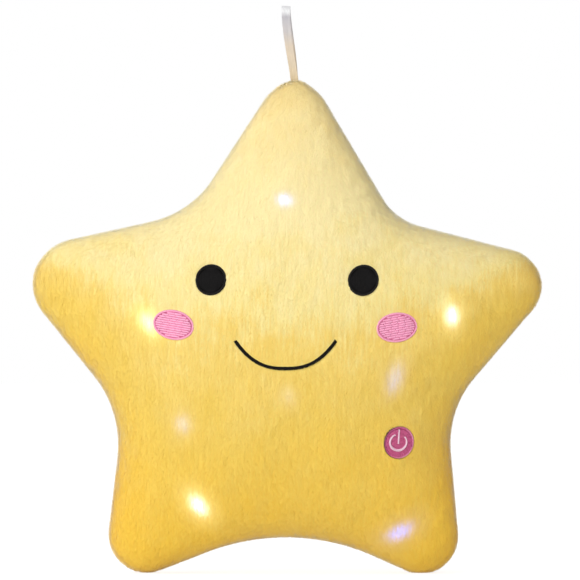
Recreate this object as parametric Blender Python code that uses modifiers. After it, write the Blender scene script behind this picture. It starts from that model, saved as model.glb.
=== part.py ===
"""Star-shaped plush night light: a stuffed star with lamps, a press switch and a battery box behind a zip.

The star stands upright on its two feet, its face towards -Y. The origin is on the floor, midway
between the feet, in the plane of the seam that joins the front and the back cover. Metres, +Z up.
"""

import math

import bmesh
import bpy
import numpy as np
from mathutils import Matrix, Vector
from mathutils.bvhtree import BVHTree

# Star
STAR_WIDTH = 0.340
STAR_HEIGHT = 0.330
CROWN_HEIGHT = 0.054
BACK_FLAT_HEIGHT = 0.0475
BACK_FLAT_BLEND = 0.0015
SEAM_WALL = 0.0025
FABRIC_THICKNESS = 0.0020
SOLE_DEPTH = 0.0005

# Corners of the cut star before rounding: x as a share of the width, z as a share of the height,
# and the rounding radius as a share of the width. They run clockwise from the top tip.
CORNER_SHARES = (
    (0.017, 1.058, 0.071),
    (0.214, 0.716, 0.122),
    (0.561, 0.624, 0.075),
    (0.315, 0.327, 0.200),
    (0.349, -0.050, 0.074),
    (0.011, 0.105, 0.423),
    (-0.367, -0.0425, 0.072),
    (-0.323, 0.323, 0.217),
    (-0.574, 0.643, 0.092),
    (-0.191, 0.730, 0.197),
)
TIP_POINTS = 5
NOTCH_POINTS = 4
ARC_STEP = 0.020
CENTRE_HEIGHT_SHARE = 0.5

# Rings of the cushion's skin: how far out each ring lies, and how round it is.
RING_SHARES = ((1.0, 0.0), (0.965, 0.0), (0.90, 0.04), (0.80, 0.14), (0.66, 0.32), (0.49, 0.62), (0.28, 0.95))
FULLNESS_SHARE = 0.42

# Clearances
SEAT_GAP = 0.0003
SOFT_GAP = 0.0005
CUT_OVERRUN = 0.010
WELD_DISTANCE = 0.000005

# Face, as shares of the star's width and height
EYE_SHARES = {"left_eye": (-0.149, 0.592), "right_eye": (0.150, 0.591)}
EYE_WIDTH = 0.0208
EYE_HEIGHT = 0.0206
CHEEK_SHARES = {"left_cheek": (-0.222, 0.502), "right_cheek": (0.216, 0.496)}
CHEEK_TILT = {"left_cheek": math.radians(-12.5), "right_cheek": math.radians(7.5)}
CHEEK_LENGTH = 0.0274
CHEEK_HEIGHT = 0.0196
MOUTH_SHARE = (-0.003, 0.414)
MOUTH_WIDTH = 0.0667
MOUTH_RISE = 0.0184
MOUTH_LINE = 0.0024
MOUTH_BEND = 2.75
STITCH_THICKNESS = 0.0009
STITCH_RING_SHARES = (1.0, 0.62, 0.30)

# Press switch
PATCH_SHARE = (0.2185, 0.265)
PATCH_DIAMETER = 0.0200
PATCH_STITCH = 0.0008
PATCH_CLEARANCE = 0.0005
PATCH_CROWN_SHARE = 0.8
BUTTON_TRAVEL = 0.0015
BUTTON_CAP_THICKNESS = 0.0016
BUTTON_CAP_DIAMETER = 0.0176
BUTTON_LIP = 0.0014
BUTTON_LIP_THICKNESS = 0.0012
BUTTON_SKIRT = 0.0012
BUTTON_STEM_DIAMETER = 0.0040
SWITCH_DIAMETER = 0.0280
SWITCH_WALL = 0.0014
SWITCH_DEPTH = 0.0125
BEZEL_DROP = 0.0048
BEZEL_THICKNESS = 0.0014
BOARD_THICKNESS = 0.0012
BOARD_STANDOFF = 0.0018
KEY_SIDE = 0.0060
KEY_HEIGHT = 0.0026
KEY_BODY_SHARE = 0.7
KEY_PIN_DIAMETER = 0.0032
SPRING_WIRE = 0.0006
SPRING_DIAMETER = 0.0110
SPRING_TURNS = 4

# Lamps
LAMP_SHARES = (
    (0.212, 0.390),
    (0.322, 0.520),
    (-0.005, 0.754),
    (-0.140, 0.539),
    (-0.268, 0.509),
    (-0.206, 0.306),
    (-0.171, 0.138),
    (0.004, 0.356),
    (0.222, 0.085),
)
LAMP_DIAMETER = 0.0050
LAMP_LENGTH = 0.0086
LAMP_FLANGE = 0.0004
LAMP_FLANGE_HEIGHT = 0.0010
SLEEVE_DIAMETER = 0.0036
SLEEVE_LENGTH = 0.0050
WIRE_DIAMETER = 0.0016
LEAD_DIAMETER = 0.0026
WIRE_TAIL = 0.012
LEAD_PACE_SHARE = 1.3

# Battery box
CELL_DIAMETER = 0.0142
CELL_LENGTH = 0.0495
NUB_DIAMETER = 0.0055
NUB_HEIGHT = 0.0010
CELL_EDGE = 0.0006
CELL_COUNT = 3
CASE_WALL = 0.0016
CASE_CORNER = 0.0025
BAY_RIB = 0.0006
CONTACT_THICKNESS = 0.0005
CONTACT_SPRING_LENGTH = 0.0042
CONTACT_SPRING_DIAMETER = 0.0076
CONTACT_SPRING_TIP = 0.0044
CONTACT_WIRE = 0.0007
CONTACT_TURNS = 3
CONTACT_WIDTH = 0.0096
WIRING_ROOM = 0.0080
LID_THICKNESS = 0.0016
LID_RIB = 0.0006
LID_RIB_WIDTH = 0.0012
LID_RIB_COUNT = 5
LID_TAB_WIDTH = 0.0060
LID_TAB_LENGTH = 0.0012
LID_TAB_THICKNESS = 0.0009
LID_LIP = 0.0020
SCREW_HEAD_DIAMETER = 0.0040
SCREW_HEAD_HEIGHT = 0.0012
SCREW_DIAMETER = 0.0020
SCREW_LENGTH = 0.0070
SCREW_SLOT = 0.0006
SCREW_CROWN_SHARE = 0.6
SCREW_CROSS_SHARE = 0.7
BOSS_DIAMETER = 0.0052

# Pouch
POUCH_WALL = 0.0008
POUCH_CORNER = 0.0030
POUCH_END_ROOM = 0.0030
POUCH_SIDE_ROOM = 0.0025
POUCH_DEPTH = 0.0290
POUCH_MOUTH_WIDTH = 0.0200

# Zip
ZIP_LENGTH = 0.108
ZIP_HEIGHT_SHARE = 0.4485
ZIP_HEIGHT = ZIP_HEIGHT_SHARE * STAR_HEIGHT
ZIP_SLOT_WIDTH = 0.0128
TAPE_WIDTH = 0.0110
TAPE_THICKNESS = 0.0007
TAPE_END = 0.0050
TOOTH_PITCH = 0.0036
TOOTH_NECK = 0.0010
TOOTH_HEAD = 0.0015
TOOTH_REACH = 0.0007
TOOTH_ROOT = 0.0013
ROW_HALF_WIDTH = 0.0024
ROW_THICKNESS = 0.0024
SLIDER_LENGTH = 0.0100
SLIDER_WALL = 0.0011
SLIDER_FLANGE = 0.0009
SPLIT_SHARES = (0.15, 0.30)
DIAMOND_HALF_WIDTH = 0.0008
BAIL_LENGTH = 0.0056
BAIL_WIDTH = 0.0014
BAIL_BAR = 0.0009
BAIL_ROOM = 0.0026
BAIL_SHOULDER_SHARE = 0.7
PULL_THICKNESS = 0.0011
PULL_WIDTH = 0.0056
PULL_LENGTH = 0.0200
PULL_BAR = 0.0012
PULL_EYE_LENGTH = 0.0044
GRIP_SHARE = 0.55
STOP_LENGTH = 0.0026

# Hanging loop
LOOP_X = 0.0045
LOOP_HEIGHT = 0.0490
LOOP_SPREAD = 0.0150
LOOP_LEAN = 0.0055
RIBBON_WIDTH = 0.0068
RIBBON_THICKNESS = 0.0006
LOOP_ROOT_RADIUS = 0.0011
LOOP_NECK_HEIGHT = 0.0044
LOOP_EYE_FOOT = 0.0077
LOOP_BULGE_SHARE = 1.3
LOOP_TAPER_SHARE = 0.6
LOOP_POINTS = 24

# Facets
SHARP_ANGLE = math.radians(40)
ROUND_STEPS = 20
SMALL_STEPS = 12
CELL_STEPS = 18
FACE_POINTS = 18
COIL_POINTS = 8
TROUGH_STEPS = 16
LAMP_STEPS = 10
WIRE_SPANS = 6
LEAD_SPANS = 20
SPLIT_SPANS = 4


def clear_scene():
    for obj in list(bpy.data.objects):
        bpy.data.objects.remove(obj, do_unlink=True)
    for old in list(bpy.data.collections):
        bpy.data.collections.remove(old)


def new_collection(name):
    made = bpy.data.collections.new(name)
    bpy.context.scene.collection.children.link(made)
    return made


def new_material(name, colour, roughness, metallic=0.0):
    material = bpy.data.materials.new(name)
    material.use_nodes = True
    shader = material.node_tree.nodes["Principled BSDF"]
    shader.inputs["Base Color"].default_value = (*colour, 1.0)
    shader.inputs["Roughness"].default_value = roughness
    shader.inputs["Metallic"].default_value = metallic
    material.diffuse_color = (*colour, 1.0)
    return material


def hide_as_cutter(obj):
    obj.hide_render = True
    obj.display_type = "WIRE"


def link(obj, material=None):
    """Puts an object among the parts when it has a material, and among the cutters when it has none."""
    for holder in list(obj.users_collection):
        holder.objects.unlink(obj)
    if material is None:
        cutters.objects.link(obj)
        hide_as_cutter(obj)
    else:
        parts.objects.link(obj)
        obj.data.materials.append(material)
    return obj


def mesh_object(name, bm, material=None):
    mesh = bpy.data.meshes.new(name)
    bm.to_mesh(mesh)
    bm.free()
    return link(bpy.data.objects.new(name, mesh), material)


def carve(obj, tool, operation="DIFFERENCE"):
    modifier = obj.modifiers.new(tool.name, "BOOLEAN")
    modifier.operation = operation
    modifier.solver = "EXACT"
    modifier.object = tool


def fuse(obj, tool):
    carve(obj, tool, "UNION")


def bevel(obj, width, segments=2):
    modifier = obj.modifiers.new("edge", "BEVEL")
    modifier.width = width
    modifier.segments = segments
    modifier.limit_method = "ANGLE"
    return modifier


def box(name, low, high, material=None):
    """A box between two corners."""
    bpy.ops.mesh.primitive_cube_add(size=1)
    obj = bpy.context.object
    obj.name = name
    low, high = Vector(low), Vector(high)
    obj.data.transform(Matrix.Diagonal((*(high - low), 1)))
    obj.location = (low + high) / 2
    return link(obj, material)


def column(name, radius, top, bottom, frame, steps=SMALL_STEPS, material=None):
    """A cylinder along the frame's Z, between two heights in that frame."""
    bpy.ops.mesh.primitive_cylinder_add(vertices=steps, radius=radius, depth=top - bottom)
    obj = bpy.context.object
    obj.name = name
    obj.data.transform(Matrix.Translation((0, 0, (top + bottom) / 2)))
    obj.data.shade_smooth()
    obj.data.set_sharp_from_angle(angle=SHARP_ANGLE)
    obj.matrix_world = frame
    return link(obj, material)


def turned(name, profile, material, frame, steps=ROUND_STEPS, closed=False):
    """Turns a profile of (radius, height) about the frame's Z axis. It runs down its outer side."""
    bm = bmesh.new()
    points = [bm.verts.new((radius, 0, height)) for radius, height in profile]
    for first, second in zip(points, points[1:]):
        bm.edges.new((first, second))
    if closed:
        bm.edges.new((points[-1], points[0]))
    obj = mesh_object(name, bm, material)
    screw = obj.modifiers.new("turn", "SCREW")
    screw.axis = "Z"
    screw.angle = math.tau
    screw.steps = steps
    screw.render_steps = steps
    screw.use_merge_vertices = True
    screw.merge_threshold = WELD_DISTANCE
    screw.use_smooth_shade = True
    obj.matrix_world = frame
    return obj


def flat_outline(name, outlines, thickness, frame, material=None):
    """A plate in the frame's XY plane, centred on it. The second and later outlines are holes."""
    curve = bpy.data.curves.new(name, "CURVE")
    curve.dimensions = "2D"
    curve.fill_mode = "BOTH"
    curve.extrude = thickness / 2
    for outline in outlines:
        spline = curve.splines.new("POLY")
        spline.points.add(len(outline) - 1)
        for point, (across, along) in zip(spline.points, outline):
            point.co = (across, along, 0, 1)
        spline.use_cyclic_u = True
    obj = bpy.data.objects.new(name, curve)
    obj.matrix_world = frame
    return link(obj, material)


def tube(name, route, diameter, material=None, resolution=1, cyclic=False):
    """A round wire along a route."""
    curve = bpy.data.curves.new(name, "CURVE")
    curve.dimensions = "3D"
    curve.bevel_depth = diameter / 2
    curve.bevel_resolution = resolution
    curve.use_fill_caps = True
    spline = curve.splines.new("POLY")
    spline.points.add(len(route) - 1)
    for point, place in zip(spline.points, route):
        point.co = (*place, 1)
    spline.use_cyclic_u = cyclic
    return link(bpy.data.objects.new(name, curve), material)


def as_mesh(curve):
    """The same piece as a mesh with welded caps, for a Boolean."""
    bpy.context.view_layer.update()
    name, frame = curve.name, curve.matrix_world.copy()
    holders, hidden = list(curve.users_collection), curve.hide_render
    evaluated = curve.evaluated_get(bpy.context.evaluated_depsgraph_get())
    mesh = bpy.data.meshes.new_from_object(evaluated)
    bpy.data.objects.remove(curve)
    bm = bmesh.new()
    bm.from_mesh(mesh)
    bmesh.ops.remove_doubles(bm, verts=bm.verts, dist=WELD_DISTANCE)
    bmesh.ops.recalc_face_normals(bm, faces=bm.faces)
    bm.to_mesh(mesh)
    bm.free()
    obj = bpy.data.objects.new(name, mesh)
    obj.matrix_world = frame
    for holder in holders:
        holder.objects.link(obj)
    if hidden:
        hide_as_cutter(obj)
    return obj


def carried_by(obj, holder):
    """Parents an object and leaves it where it is."""
    bpy.context.view_layer.update()
    obj.parent = holder
    obj.matrix_parent_inverse = holder.matrix_world.inverted()


def empty_at(name, frame):
    obj = bpy.data.objects.new(name, None)
    parts.objects.link(obj)
    obj.matrix_world = frame
    return obj


def share_point(share):
    return share[0] * STAR_WIDTH, share[1] * STAR_HEIGHT


def upright(x, y, z):
    """A frame whose XY plane stands in the star's plane: its X is the star's X and its Y points up."""
    return Matrix.Translation((x, y, z)) @ Matrix.Rotation(math.pi / 2, 4, "X")


def star_outline():
    """The star's rounded outline as (x, z) points, clockwise from the top."""
    corners = [Vector(share_point(share)) for share in CORNER_SHARES]
    arcs = []
    for number, corner in enumerate(corners):
        before = (corners[number - 1] - corner).normalized()
        after = (corners[(number + 1) % len(corners)] - corner).normalized()
        radius = CORNER_SHARES[number][2] * STAR_WIDTH
        half_angle = before.angle(after) / 2
        centre = corner + (before + after).normalized() * radius / math.sin(half_angle)
        start = corner + before * radius / math.tan(half_angle) - centre
        turn = start.angle_signed(corner + after * radius / math.tan(half_angle) - centre)
        fewest = NOTCH_POINTS if number % 2 else TIP_POINTS
        count = max(fewest, math.ceil(radius * abs(turn) / ARC_STEP))
        arcs.append([centre + Matrix.Rotation(-turn * step / (count - 1), 2) @ start for step in range(count)])
    points = []
    for number, arc in enumerate(arcs):
        following = arcs[(number + 1) % len(arcs)]
        points += [*arc, (arc[-1] + following[0]) / 2]
    lift = Vector((0, -SOLE_DEPTH - min(point.y for point in points)))
    return [point + lift for point in points]


def skin_grid():
    """Rings of (x, z) points from the outline inwards, each rounder than the one outside it."""
    outline = star_outline()
    centre = Vector((0, CENTRE_HEIGHT_SHARE * STAR_HEIGHT))
    mean_radius = sum((point - centre).length for point in outline) / len(outline)
    rings = []
    for reach, roundness in RING_SHARES:
        ring = []
        for point in outline:
            spoke = point - centre
            rounded = spoke.lerp(spoke.normalized() * mean_radius, roundness)
            ring.append(centre + rounded * reach)
        rings.append(ring)
    return rings, centre


def skin_faces(count, rings):
    """Triangles between neighbouring rings and round the centre point, as numbers of points."""
    faces = []
    for ring in range(rings - 1):
        for number in range(count):
            first = ring * count + number
            second = ring * count + (number + 1) % count
            faces += [(first, second, second + count), (first, second + count, first + count)]
    last = (rings - 1) * count
    faces += [(last + number, last + (number + 1) % count, rings * count) for number in range(count)]
    return faces


def crown_shares(rings, centre):
    """How high each point of the skin stands, from 0 at the seam to 1 at the centre of the star.

    A membrane held at the seam and blown up by an even pressure, solved on the skin's own triangles.
    """
    count = len(rings[0])
    points = np.array([tuple(point) for ring in rings for point in ring] + [tuple(centre)])
    stiffness = np.zeros((len(points), len(points)))
    load = np.zeros(len(points))
    for face in skin_faces(count, len(rings)):
        corners = points[list(face)]
        opposite = corners[[2, 0, 1]] - corners[[1, 2, 0]]
        area = abs(np.cross(opposite[0], opposite[1])) / 2
        stiffness[np.ix_(face, face)] += opposite @ opposite.T / (4 * area)
        load[list(face)] += area / 3
    height = np.zeros(len(points))
    free = slice(count, None)
    height[free] = np.linalg.solve(stiffness[free, free], load[free])
    return (height / height.max()) ** FULLNESS_SHARE


def front_height(share):
    return SEAM_WALL + (CROWN_HEIGHT - SEAM_WALL) * share


def back_height(share):
    """The back swells like the front, and lies flat where the zip and the battery pouch are."""
    height = front_height(share)
    over = height - (BACK_FLAT_HEIGHT - BACK_FLAT_BLEND)
    if over <= 0:
        return height
    if over >= 2 * BACK_FLAT_BLEND:
        return BACK_FLAT_HEIGHT
    return height - over * over / (4 * BACK_FLAT_BLEND)


def skin_half(bm, side, height_of, edge):
    """One half of the cushion's skin. Its edge, if it has one, is how far off the seam's plane its rim ends."""
    rings, centre = GRID
    count = len(rings[0])
    flat = [point for ring in rings for point in ring] + [centre]
    raised = [(x, side * height_of(share), z) for (x, z), share in zip(flat, CROWN)]
    verts = [bm.verts.new(place) for place in raised]
    faces = [[verts[number] for number in face] for face in skin_faces(count, len(rings))]
    if edge is not None:
        rim = [bm.verts.new((x, side * edge, z)) for x, z in rings[0]]
        for number in range(count):
            following = (number + 1) % count
            faces.append([rim[number], rim[following], verts[following]])
            faces.append([rim[number], verts[following], verts[number]])
    for face in faces:
        bm.faces.new(face if side > 0 else face[::-1])
    return verts[:count]


def cover_surface(side, height_of):
    bm = bmesh.new()
    skin_half(bm, side, height_of, SEAT_GAP / 2)
    bm.normal_update()
    return bm


def cover(name, side, height_of, material):
    """A plush panel: the skin with the fabric's thickness turned inwards, its soles cut flat."""
    obj = mesh_object(name, cover_surface(side, height_of), material)
    shell = obj.modifiers.new("fabric", "SOLIDIFY")
    shell.thickness = FABRIC_THICKNESS
    shell.offset = -1
    shell.use_even_offset = False
    obj.data.shade_smooth()
    carve(obj, floor_cutter)
    return obj


def front_frame(share):
    """The frame on the front cover's outer face at a place on the star, its Z pointing straight out."""
    x, z = share_point(share)
    point, normal = on_front(x, z)
    around = [on_front(x + PATCH_DIAMETER / 2 * math.cos(turn), z + PATCH_DIAMETER / 2 * math.sin(turn))[1]
              for turn in np.arange(0, math.tau, math.pi / 4)]
    normal = sum(around, normal).normalized()
    across = Vector((0, 0, 1)).cross(normal).normalized()
    up = normal.cross(across)
    rotation = Matrix((across, up, normal)).transposed().to_4x4()
    return Matrix.Translation(point) @ rotation


def on_front(x, z):
    """Where a line along +Y meets the front cover's outer face, and the direction out of it."""
    point, normal, _, _ = front_tree.ray_cast(Vector((x, -STAR_WIDTH, z)), Vector((0, 1, 0)))
    return point, normal


def make_covers():
    front = cover("front_cover", -1, front_height, plush)
    carve(front, column("patch_opening", PATCH_DIAMETER / 2 + PATCH_CLEARANCE, CUT_OVERRUN, -CUT_OVERRUN,
                        patch_frame, ROUND_STEPS))
    half_slot = ZIP_SLOT_WIDTH / 2
    slot = box("zip_slot", (-half_slot, CUT_OVERRUN, ZIP_HEIGHT - ZIP_LENGTH / 2),
               (half_slot, BACK_FLAT_HEIGHT + CUT_OVERRUN, ZIP_HEIGHT + ZIP_LENGTH / 2))
    for name, side in (("back_cover_left", -1), ("back_cover_right", 1)):
        panel = cover(name, 1, back_height, plush)
        low, high = sorted((side * SEAT_GAP / 2, -side * STAR_WIDTH))
        carve(panel, box(f"{name}_half", (low, -CUT_OVERRUN, -CUT_OVERRUN),
                         (high, BACK_FLAT_HEIGHT + CUT_OVERRUN, STAR_HEIGHT + CUT_OVERRUN)))
        carve(panel, slot)


def make_filling():
    """The stuffing: the whole cushion drawn in by the fabric, with room for everything it holds."""
    bm = bmesh.new()
    front_edge = skin_half(bm, -1, front_height, None)
    back_edge = skin_half(bm, 1, back_height, None)
    for number, first in enumerate(front_edge):
        following = (number + 1) % len(front_edge)
        bm.faces.new((first, back_edge[number], back_edge[following]))
        bm.faces.new((first, back_edge[following], front_edge[following]))
    bmesh.ops.recalc_face_normals(bm, faces=bm.faces)
    obj = mesh_object("filling", bm, stuffing)
    drawn_in = obj.modifiers.new("drawn_in", "DISPLACE")
    drawn_in.mid_level = 0
    drawn_in.strength = -(FABRIC_THICKNESS + SOFT_GAP)
    obj.data.shade_smooth()
    for name, low, high in ROOMS:
        room = Vector((SOFT_GAP, SOFT_GAP, SOFT_GAP))
        carve(obj, box(f"{name}_room", Vector(low) - room, Vector(high) + room))
    carve(obj, column("switch_room", SWITCH_DIAMETER / 2 + SOFT_GAP, CUT_OVERRUN,
                      SWITCH_BOTTOM - SOFT_GAP, patch_frame, ROUND_STEPS))
    for number, frame in enumerate(lamp_frames, 1):
        carve(obj, column(f"lamp_room_{number}", LAMP_DIAMETER / 2 + LAMP_FLANGE + SOFT_GAP, CUT_OVERRUN,
                          LAMP_WIRE_DEPTH - WIRE_DIAMETER / 2 - SOFT_GAP, frame))
    carve(obj, wire_slit())
    carve(obj, as_mesh(tube("lead_room", lead_route, LEAD_DIAMETER + 2 * SOFT_GAP, None, 1)))


def wire_slit():
    """The slit in the stuffing that the lamps' wire is laid in: open to the front, as wide as the wire."""
    half = WIRE_DIAMETER / 2 + SOFT_GAP
    flat = [Vector((place.x, place.z)) for place in wire_route]
    left, right = [], []
    for number, place in enumerate(flat):
        ahead = (flat[min(number + 1, len(flat) - 1)] - flat[max(number - 1, 0)]).normalized()
        across = Vector((-ahead.y, ahead.x)) * half
        if number == len(flat) - 1:
            place = place + ahead * half
        left.append(place + across)
        right.append(place - across)
    deepest = max(place.y for place in wire_route) + half
    depth = deepest + CROWN_HEIGHT + CUT_OVERRUN
    outline = left + right[::-1]
    return as_mesh(flat_outline("wire_slit", [outline], depth, upright(0, deepest - depth / 2, 0)))


def stitched(name, share, outline, material):
    """An embroidered piece on the front cover: rings inside an outline, laid on the plush and thickened."""
    centre = Vector(share_point(share))
    bm = bmesh.new()
    rows = []
    for reach in STITCH_RING_SHARES:
        rows.append([bm.verts.new(laid(centre + place * reach)) for place in outline])
    middle = bm.verts.new(laid(centre))
    count = len(outline)
    for outer, inner in zip(rows, rows[1:]):
        for number in range(count):
            following = (number + 1) % count
            bm.faces.new((outer[number], outer[following], inner[following], inner[number]))
    for number in range(count):
        bm.faces.new((rows[-1][number], rows[-1][(number + 1) % count], middle))
    return thickened(name, bm, material)


def laid(place):
    point, normal = on_front(place.x, place.y)
    return point + normal * SOFT_GAP


def thickened(name, bm, material):
    bmesh.ops.recalc_face_normals(bm, faces=bm.faces)
    if sum(face.normal.y for face in bm.faces) > 0:
        bmesh.ops.reverse_faces(bm, faces=bm.faces)
    obj = mesh_object(name, bm, material)
    shell = obj.modifiers.new("thread", "SOLIDIFY")
    shell.thickness = STITCH_THICKNESS
    shell.offset = 1
    obj.data.shade_smooth()
    return obj


def ellipse(width, height, tilt):
    turns = [math.tau * step / FACE_POINTS for step in range(FACE_POINTS)]
    turned_by = Matrix.Rotation(tilt, 2)
    return [turned_by @ Vector((width / 2 * math.cos(turn), height / 2 * math.sin(turn))) for turn in turns]


def make_face():
    for name, share in EYE_SHARES.items():
        stitched(name, share, ellipse(EYE_WIDTH, EYE_HEIGHT, 0), eye_thread)
    for name, share in CHEEK_SHARES.items():
        stitched(name, share, ellipse(CHEEK_LENGTH, CHEEK_HEIGHT, -CHEEK_TILT[name]), cheek_thread)
    centre = Vector(share_point(MOUTH_SHARE))
    bm = bmesh.new()
    rows = []
    for step in range(FACE_POINTS + 1):
        along = 2 * step / FACE_POINTS - 1
        rise = MOUTH_RISE * abs(along) ** MOUTH_BEND
        slope = MOUTH_RISE * MOUTH_BEND * abs(along) ** (MOUTH_BEND - 1) * math.copysign(1, along)
        across = Vector((-slope, MOUTH_WIDTH / 2)).normalized() * MOUTH_LINE / 2
        middle = centre + Vector((along * MOUTH_WIDTH / 2, rise))
        rows.append([bm.verts.new(laid(middle + across)), bm.verts.new(laid(middle - across))])
    for first, second in zip(rows, rows[1:]):
        bm.faces.new((first[0], first[1], second[1], second[0]))
    thickened("mouth", bm, eye_thread)


def make_switch():
    """The press switch under the patch: housing, bezel, board with its key, return spring and button."""
    button_axis = empty_at("button_axis", patch_frame)
    outer = SWITCH_DIAMETER / 2
    inner = outer - SWITCH_WALL
    top, bottom = -BEZEL_DROP, SWITCH_BOTTOM
    patch_radius = PATCH_DIAMETER / 2
    patch_top, patch_bottom = PATCH_STITCH, -FABRIC_THICKNESS
    patch = turned("power_patch", [(0, patch_top), (patch_radius * PATCH_CROWN_SHARE, patch_top),
                                   (patch_radius, patch_top - PATCH_STITCH / 2), (patch_radius, patch_bottom),
                                   (0, patch_bottom)], patch_thread, patch_frame)
    cap_radius = BUTTON_CAP_DIAMETER / 2
    cap_top = patch_bottom - SEAT_GAP
    lip_top = top - BEZEL_THICKNESS - SEAT_GAP
    lip_bottom = lip_top - BUTTON_LIP_THICKNESS
    lip_radius = cap_radius + BUTTON_LIP
    hollow = cap_radius - BUTTON_SKIRT
    stem = BUTTON_STEM_DIAMETER / 2
    under = cap_top - BUTTON_CAP_THICKNESS
    floor = bottom + SWITCH_WALL
    ledge = floor + BOARD_STANDOFF
    board_bottom = ledge + SEAT_GAP
    board_top = board_bottom + BOARD_THICKNESS
    key_bottom = board_top + SEAT_GAP
    stem_end = key_bottom + KEY_HEIGHT + SEAT_GAP + BUTTON_TRAVEL
    button = turned("switch_button", [
        (0, cap_top), (cap_radius - BUTTON_LIP / 2, cap_top), (cap_radius, cap_top - BUTTON_LIP / 2),
        (cap_radius, lip_top), (lip_radius, lip_top), (lip_radius, lip_bottom), (hollow, lip_bottom),
        (hollow, under), (stem, under), (stem, stem_end), (0, stem_end),
    ], white_plastic, patch_frame)
    for obj in (patch, button):
        carried_by(obj, button_axis)
    bezel_edge = cap_radius + SEAT_GAP
    turned("switch_bezel", [
        (bezel_edge + BUTTON_LIP / 2, top), (outer, top), (outer, top - BEZEL_THICKNESS),
        (inner - SEAT_GAP, top - BEZEL_THICKNESS), (inner - SEAT_GAP, lip_bottom),
        (lip_radius + SEAT_GAP, lip_bottom), (lip_radius + SEAT_GAP, top - BEZEL_THICKNESS),
        (bezel_edge, top - BEZEL_THICKNESS), (bezel_edge, top - BUTTON_LIP / 2),
    ], white_plastic, patch_frame, closed=True)
    wall_top = top - BEZEL_THICKNESS - SEAT_GAP
    housing = turned("switch_housing", [
        (outer, wall_top), (outer, bottom + SWITCH_WALL / 2), (outer - SWITCH_WALL / 2, bottom),
        (LEAD_DIAMETER / 2 + SEAT_GAP, bottom), (LEAD_DIAMETER / 2 + SEAT_GAP, floor),
        (inner - SWITCH_WALL, floor), (inner - SWITCH_WALL, ledge), (inner, ledge), (inner, wall_top),
    ], white_plastic, patch_frame, closed=True)
    carve(housing, wire_exit_tool)
    board_radius = inner - SEAT_GAP
    board = column("circuit_board", board_radius, board_top, board_bottom, patch_frame, ROUND_STEPS,
                   board_green)
    carve(board, column("board_notch", WIRE_DIAMETER, board_top + CUT_OVERRUN, board_bottom - CUT_OVERRUN,
                        patch_frame @ Matrix.Translation((board_radius, 0, 0))))
    key = box("switch_key", (-KEY_SIDE / 2, -KEY_SIDE / 2, key_bottom),
              (KEY_SIDE / 2, KEY_SIDE / 2, key_bottom + KEY_HEIGHT * KEY_BODY_SHARE), black_plastic)
    key.matrix_world = patch_frame @ Matrix.Translation(key.location)
    fuse(key, column("key_pin", KEY_PIN_DIAMETER / 2, key_bottom + KEY_HEIGHT, key_bottom + KEY_HEIGHT / 3,
                     patch_frame))
    spring_low = board_top + SEAT_GAP + SPRING_WIRE / 2
    spring_high = under - SEAT_GAP - SPRING_WIRE / 2
    coil = helix(SPRING_DIAMETER / 2, SPRING_DIAMETER / 2, spring_low, spring_high, SPRING_TURNS)
    tube("switch_spring", [patch_frame @ place for place in coil], SPRING_WIRE, steel, 0)


def helix(low_radius, high_radius, low, high, turns):
    """Points up a coil whose first and last turns lie flat, between two heights."""
    steps = turns * COIL_POINTS
    points = []
    for step in range(steps + 1):
        share = step / steps
        flat_share = min(max((share * turns - 0.5) / (turns - 1), 0), 1)
        radius = low_radius + (high_radius - low_radius) * share
        turn = math.tau * step / COIL_POINTS
        height = low + (high - low) * flat_share
        points.append(Vector((radius * math.cos(turn), radius * math.sin(turn), height)))
    return points


def make_lamps():
    """Lamps with sleeved legs, their domes just under the plush, and the wire that joins them."""
    radius = LAMP_DIAMETER / 2
    top = -FABRIC_THICKNESS - SOFT_GAP
    base = top - LAMP_LENGTH
    profile = [(radius * math.sin(turn), top - radius * (1 - math.cos(turn))) for turn in
               (0, math.pi / 6, math.pi / 3, math.pi / 2)]
    profile += [(radius, base + LAMP_FLANGE_HEIGHT), (radius + LAMP_FLANGE, base + LAMP_FLANGE_HEIGHT),
                (radius + LAMP_FLANGE, base), (SLEEVE_DIAMETER / 2, base),
                (SLEEVE_DIAMETER / 2, base - SLEEVE_LENGTH), (0, base - SLEEVE_LENGTH)]
    for number, frame in enumerate(lamp_frames, 1):
        turned(f"lamp_{number}", profile, lamp_epoxy, frame, LAMP_STEPS)
    tube("lamp_wire", wire_route, WIRE_DIAMETER, wire_sleeve, 1)


def through(places, headings, spans, pace=1.0):
    """A smooth route through places, with the heading wanted at each. A higher pace makes wider bends."""
    route = []
    for start, end, leave, arrive in zip(places, places[1:], headings, headings[1:]):
        reach = (end - start).length * pace
        for step in range(spans):
            t = step / spans
            route.append(start * (2 * t**3 - 3 * t**2 + 1) + leave * reach * (t**3 - 2 * t**2 + t)
                         + end * (3 * t**2 - 2 * t**3) + arrive * reach * (t**3 - t**2))
    return [*route, places[-1]]


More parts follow.
